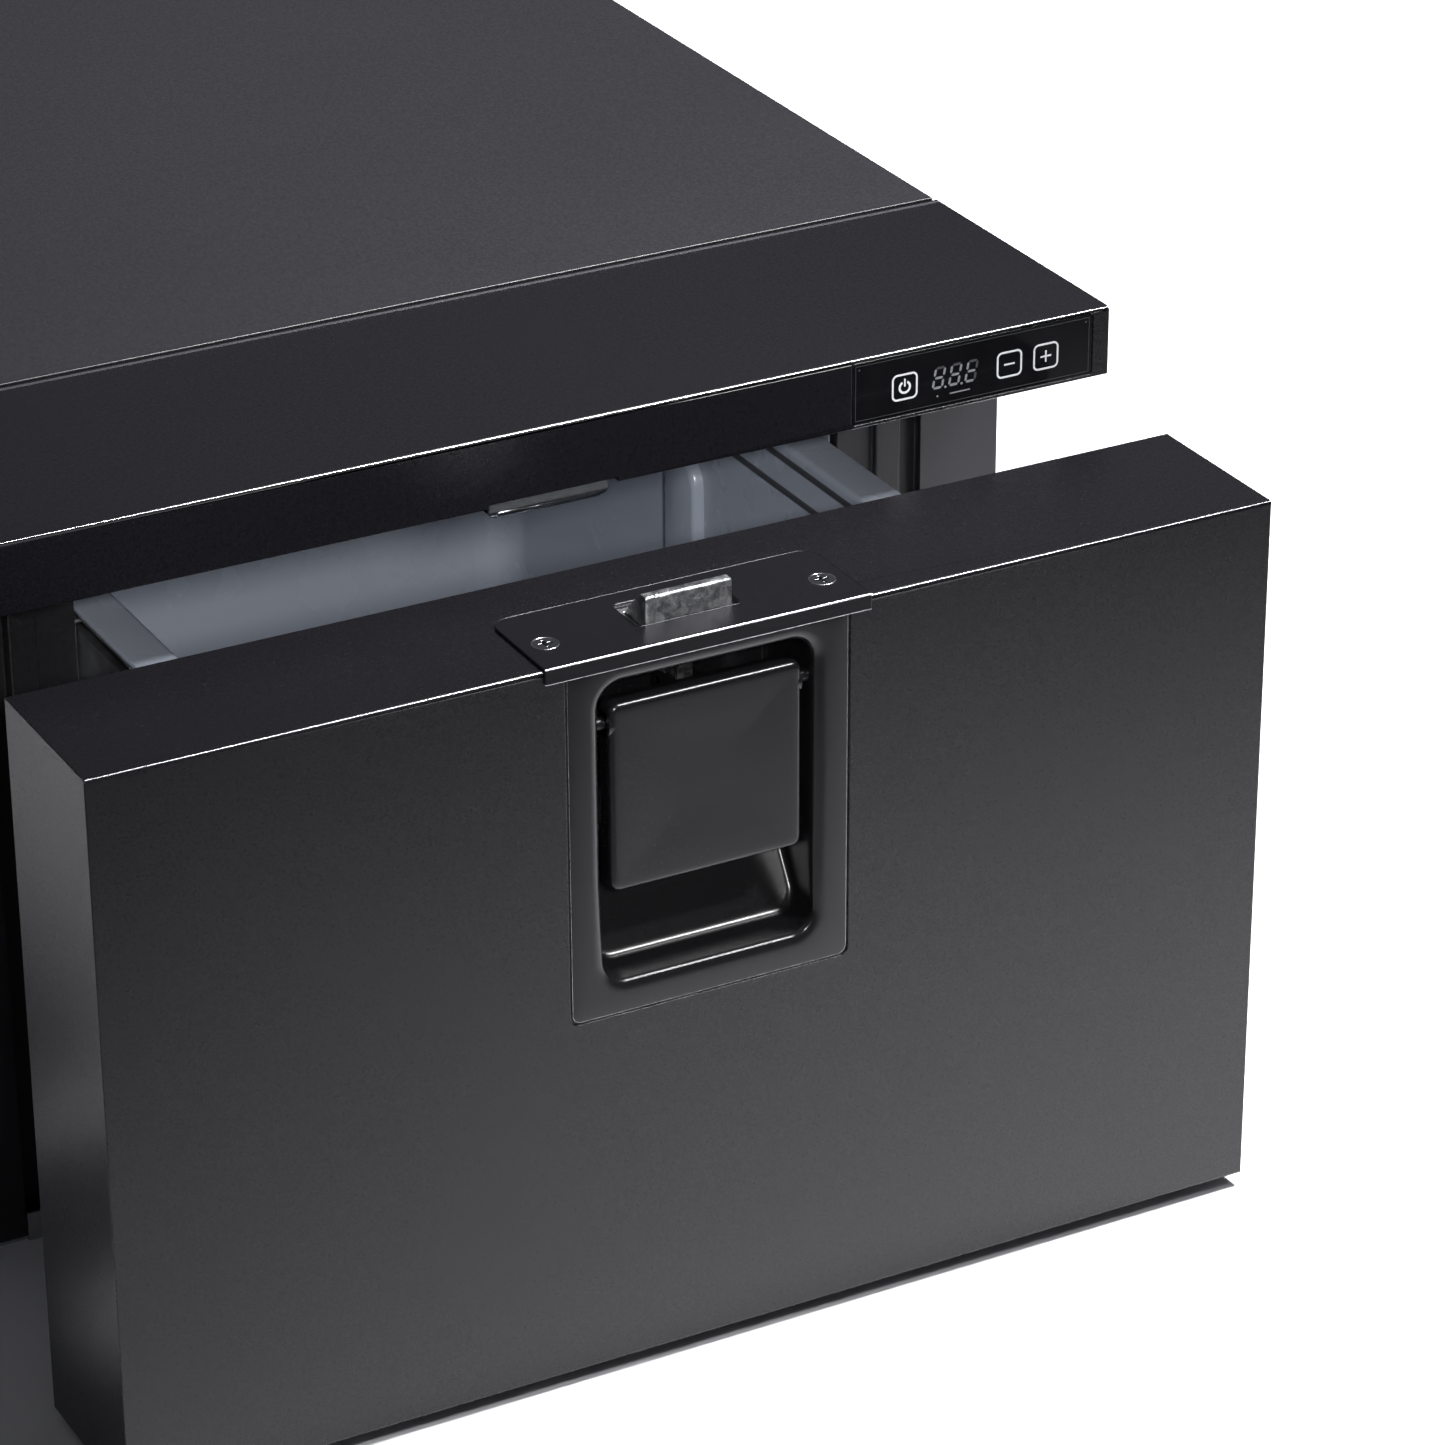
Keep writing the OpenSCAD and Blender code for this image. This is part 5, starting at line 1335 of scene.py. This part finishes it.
    def paddle(self) -> None:
        """Pull paddle: a hollow shell with a softly rounded face, ears and crank arms."""
        height = self.paddle_bottom - self.paddle_top
        middle = self.top - (self.paddle_bottom + self.paddle_top) / 2
        y0, y1 = self.face + self.paddle_y, self.face + self.paddle_y + self.paddle_d
        wall, skin, soft = 2.0 * MM, 2.5 * MM, 2.5 * MM
        rings = [self.paddle_ring(wall + 0.6 * MM, y0 + skin, height, middle),
                 self.paddle_ring(wall, y0 + skin + 0.6 * MM, height, middle),
                 self.paddle_ring(wall, y1 - 0.4 * MM, height, middle),
                 self.paddle_ring(wall - 0.4 * MM, y1, height, middle),
                 self.paddle_ring(0.4 * MM, y1, height, middle),
                 self.paddle_ring(0.0, y1 - 0.4 * MM, height, middle)]
        for a in arc(0, 90, 9):
            rings.append(self.paddle_ring(soft * (1 - math.cos(a)), y0 + soft * (1 - math.sin(a)),
                                          height, middle))
        for inset in (4.5, 8.0, 14.0, 22.0, 30.0, 35.5):
            sink = 0.45 * MM * min(1.0, inset / 22.0) ** 2
            rings.append(self.paddle_ring(inset * MM, y0 + sink, height, middle))
        shell = Shell().grid(ring_stack(rings, Plane.FRONT, corner=10, side=10))
        pivot = (self.face + self.pivot_y, self.top - self.pivot_drop)
        pin_at = (pivot[0] + self.crank, pivot[1])
        half = self.paddle_w / 2
        for side in (-1, 1):
            shell.rod((side * (half - wall - 3 * MM), *pivot), (side * half, *pivot), 5.5 * MM)
            inner = side * (self.tail_w / 2 + 1 * MM)
            outer = inner + side * 3 * MM
            shell.rod((inner, *pin_at), (outer, *pin_at), 3.5 * MM)
            shell.block((min(inner, outer), y0 + skin - 0.1 * MM, pivot[1] - 3.5 * MM),
                        (max(inner, outer), pivot[0] + self.crank, pivot[1] + 3.5 * MM), 0.3 * MM)
        reach = self.tail_w / 2 + 1.2 * MM
        shell.rod((-reach, *pin_at), (reach, *pin_at), self.pin / 2)
        piece = shell.build("paddle_moulding", "paddle", "black_powder_coat", 38.0)
        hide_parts("paddle")
        LATCH_COAT.dress(piece)
        LOG.info("built paddle_moulding")

    def paddle_ring(self, inset: float, level: float, height: float, middle: float) -> Ring:
        """An outline of the paddle: width and height less twice the inset, at a level."""
        radius = max(4.0 * MM - inset, 1.5 * MM)
        return Ring(self.paddle_w - 2 * inset, height - 2 * inset, radius, level, 0, middle)

    def bolt(self) -> None:
        """Slam bolt: the wedge outline with rounded corners, a groove and a slotted tail."""
        y0, y1 = self.face + self.bolt_y, self.face + self.bolt_y + self.bolt_d
        z0, z1 = self.top - 4 * MM, self.top + self.bolt_rise
        flat, round_front, round_back = 3.2 * MM, 1.1 * MM, 2.6 * MM
        front = [(y0 + round_front * (1 - math.cos(a)), z1 - round_front * (1 - math.sin(a)))
                 for a in arc(0, 90, 7)]
        slope = 45.0
        back_centre = (y0 + flat, z1 - round_back)
        back = [(back_centre[0] + round_back * math.cos(a), back_centre[1] + round_back * math.sin(a))
                for a in arc(90, 90 - slope, 6)]
        drop = back[-1][1] - (y1 - back[-1][0])
        outline = np.array(([(y0, z0)] + front + back + [(y1, drop), (y1, z0)])[::-1])
        groove = outline.copy()
        groove[:, 0] = np.minimum(groove[:, 0], y0 + 6.5 * MM)
        half, end = self.bolt_w / 2, 0.6 * MM
        cuts = (-half, -half + 4 * MM, -half + 5.6 * MM, half)
        shell = Shell()
        for (x0, x1), shape in zip(zip(cuts, cuts[1:]), (outline, groove, outline)):
            soft0 = end if x0 == cuts[0] else 0.15 * MM
            soft1 = end if x1 == cuts[-1] else 0.15 * MM
            shell.prism(shape, (x0, x0 + soft0 * 0.3, x0 + soft0, x1 - soft1, x1 - soft1 * 0.3, x1),
                        (soft0, soft0 * 0.35, 0, 0, soft1 * 0.35, soft1), Plane.SIDE)
        pivot = self.top - self.pivot_drop
        half = self.tail_w / 2
        t0, t1, slot = self.face + self.tail_y0, self.face + self.tail_y1, 3.3 * MM
        for low, high in (((t0, pivot + slot), (t1, z0 + 0.2 * MM)),
                          ((t0, pivot - slot), (t0 + 2 * MM, pivot + slot)),
                          ((t1 - 2 * MM, pivot - slot), (t1, pivot + slot)),
                          ((t0, self.top - self.tail_end), (t1, pivot - slot))):
            shell.block((-half, *low), (half, *high), 0.2 * MM)
        piece = shell.build("slam_bolt", "bolt", "zinc_die_cast", 34.0)
        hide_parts("latch_bolt")
        DIE_CAST.dress(piece)
        LOG.info("built slam_bolt")

    def trim(self) -> None:
        """Painted highlight lines along the edges of the cover, its slot and screws, and of the latch plate;
        the cover's side and rear edges and slot get a dimmer painted highlight.
        """
        low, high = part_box("latch_cover")
        sunk, fine, wide = 0.09 * MM, 0.12 * MM, 0.35 * MM
        top, rear, half = high.z - sunk, high.y - sunk, high.x - sunk
        corner = 7.0 * MM
        turn = arc(0, 90, 9)[:, None]
        right = np.concatenate([half - corner + corner * np.cos(turn), rear - corner + corner * np.sin(turn),
                                np.full_like(turn, top)], 1)
        left = right[::-1] * (-1, 1, 1)
        front = low.y + 1.4 * MM
        outline = np.concatenate([[(half, front, top)], right, left, [(-half, front, top)]])
        # dull carries the dimmer painted highlights, shell the bright ones.
        dull, shell = Shell().wire(outline, fine, (0, 0, 1)), Shell()
        for y, z in ((low.y + wide + 0.01 * MM, high.z - wide - 0.01 * MM),
                     (low.y + 0.36 * MM, low.z + 0.26 * MM)):
            shell.line(-half, half, y, z, wide)
        slot = rounded_outline(self.slot_w, self.slot_d, self.slot_radius, 6, 1)
        path = np.stack([slot[:, 0], self.face + self.slot_y + slot[:, 1], np.full(len(slot), top)], 1)
        dull.wire(path, fine, (0, 0, 1), True)
        for side in (-1, 1):
            circle = np.linspace(0, 2 * np.pi, 28, endpoint=False)
            path = np.stack([side * self.screw_x + self.screw_radius * np.cos(circle),
                             self.face + self.screw_y + self.screw_radius * np.sin(circle),
                             np.full(len(circle), top)], 1)
            shell.wire(path, fine * 1.6, (0, 0, 1), True)
        # Bright wire round the latch plate's edge: painted highlight.
        low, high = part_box("latch_pan")
        x, sink = self.plate_w / 2 - 0.12 * MM, self.face + 0.22 * MM
        plate = rounded_outline(2 * x, high.z - low.z - 0.24 * MM, self.plate_radius, 8, 1)
        path = np.stack([plate[:, 0], np.full(len(plate), sink), plate[:, 1] + (high.z + low.z) / 2], 1)
        shell.wire(path, fine, (0, 1, 0), True)
        PAINTED_DIM_HIGHLIGHT.dress(dull.build("latch_painted_dim_highlights", "drawer", "dark_chrome"))
        PAINTED_HIGHLIGHT.dress(shell.build("latch_painted_highlights", "drawer", "dark_chrome"))
        LOG.info("built latch_painted_dim_highlights and latch_painted_highlights")

    def spring(self) -> None:
        """Coil spring below the bolt: a round wire along a helix of even pitch."""
        turns, around, steps = 8.0, 8, 220
        length = self.seat_drop - self.tail_end
        centre = self.face + self.pivot_y + self.crank - 2 * MM
        radius = (self.spring_d - self.wire) / 2
        share = np.linspace(0, 1, steps)
        angle = 2 * np.pi * turns * share
        rise = self.wire / 2 + (length - self.wire) * share
        path = np.stack([radius * np.cos(angle), centre + radius * np.sin(angle),
                         self.top - self.seat_drop + rise], 1)
        along = np.gradient(path, axis=0)
        along /= np.linalg.norm(along, axis=1)[:, None]
        out = np.stack([np.cos(angle), np.sin(angle), 0 * angle], 1)
        side = np.cross(along, out)
        turn = np.linspace(0, 2 * np.pi, around, endpoint=False)
        grid = path[:, None] + self.wire / 2 * (np.cos(turn)[None, :, None] * out[:, None]
                                                + np.sin(turn)[None, :, None] * side[:, None])
        piece = Shell().grid(grid).build("bolt_coil", "drawer", "spring_steel", 60.0)
        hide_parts("bolt_spring")
        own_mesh(piece)
        SPRING_STEEL.dress(piece)
        LOG.info("built bolt_coil")


@dataclass(frozen=True)
class Lamp:
    """A round studio spot with a soft edge."""

    name: str
    place: tuple[float, float, float]
    target: tuple[float, float, float]
    size: float
    power: float
    cone: float
    softness: float

    def hang(self) -> None:
        """Makes the light and points it at its target."""
        data = bpy.data.lights.new(self.name, "SPOT")
        data.energy, data.shadow_soft_size = self.power, self.size
        data.spot_size, data.spot_blend = math.radians(self.cone), self.softness
        light = bpy.data.objects.new(self.name, data)
        light.location = self.place
        light.rotation_mode = "QUATERNION"
        light.rotation_quaternion = (Vector(self.target) - Vector(self.place)).to_track_quat("-Z", "Y")
        bpy.context.scene.collection.objects.link(light)


@dataclass
class Studio:
    """Pale floor, soft lights and the camera."""

    lens: float = 133.09
    sensor: float = 36.0
    eye: tuple[float, float, float] = (-0.78072, -1.92786, 1.07954)
    right: tuple[float, float, float] = (0.87975, -0.47542, -0.00345)
    down: tuple[float, float, float] = (-0.21473, -0.39086, -0.89505)
    forward: tuple[float, float, float] = (0.42418, 0.78816, -0.44595)
    floor: float = 9.0

    def build(self) -> None:
        """Builds the stage."""
        self.camera()
        self.ground()
        self.lights()
        self.sky()

    def camera(self) -> None:
        """Places the camera by its own axes."""
        data = bpy.data.cameras.new("camera")
        data.lens, data.sensor_width = self.lens, self.sensor
        data.clip_start, data.clip_end = 0.05, 50.0
        camera = bpy.data.objects.new("camera", data)
        axes = [Vector(self.right), -Vector(self.down), -Vector(self.forward)]
        turn = Matrix(axes).transposed().to_4x4()
        camera.matrix_world = Matrix.Translation(self.eye) @ turn
        bpy.context.scene.collection.objects.link(camera)
        bpy.context.scene.camera = camera

    def ground(self) -> None:
        """Lays the plain floor."""
        half = self.floor
        mesh = bpy.data.meshes.new("floor")
        corners = [(-half, -half, 0), (half, -half, 0), (half, half, 0), (-half, half, 0)]
        mesh.from_pydata(corners, [], [(0, 1, 2, 3)])
        floor = bpy.data.objects.new("floor", mesh)
        bpy.context.scene.collection.objects.link(floor)
        made = bpy.data.materials.new("pale_floor")
        made.use_nodes = True
        shader = made.node_tree.nodes["Principled BSDF"]
        shader.inputs["Base Color"].default_value = (0.86, 0.85, 0.89, 1)
        shader.inputs["Roughness"].default_value = 0.75
        mesh.materials.append(made)

    def lights(self) -> None:
        """Hangs the soft lights round the object."""
        lamps = [Lamp("key_light", (1.0, -0.5, 2.4), (0.42, 0.0, 0.0), 0.3, 660.0, 42.0, 0.3),
                 Lamp("rear_light", (1.4, 1.4, 2.9), (1.3, 1.2, 0.0), 0.5, 330.0, 56.0, 1.0),
                 Lamp("gap_light", (-0.62, -2.0, 1.13), (0.0, -0.29, 0.26), 0.06, 95.0, 14.5, 0.5)]
        for number, shift in enumerate((-0.22, 0.0, 0.22)):
            lamps.append(Lamp(f"edge_light_{number}", (0.85 + shift, -1.36, 1.87), (shift, -0.41, 0.3),
                              0.1, 85.0, 13.0, 0.6))
        for lamp in lamps:
            lamp.hang()

    def sky(self) -> None:
        """Sets a plain soft surround."""
        world = bpy.data.worlds.new("studio")
        world.use_nodes = True
        world.node_tree.nodes["Background"].inputs[0].default_value = (0.95, 0.97, 1.0, 1)
        world.node_tree.nodes["Background"].inputs[1].default_value = 0.09
        bpy.context.scene.world = world
        bpy.context.scene.view_settings.view_transform = "Standard"


def main() -> None:
    """Builds and dresses every assembly in order."""
    logging.basicConfig(level=logging.INFO, format="%(message)s")
    Studio().build()
    Cabinet().dress()
    CoolingUnit().dress()
    SlideSet().dress()
    strip = ControlStrip()
    strip.dress()
    strip.build()
    front = DrawerFront()
    front.dress()
    front.build()
    Bin().build()
    latch = SlamLatch()
    latch.dress()
    latch.build()


if __name__ == "__main__":
    main()
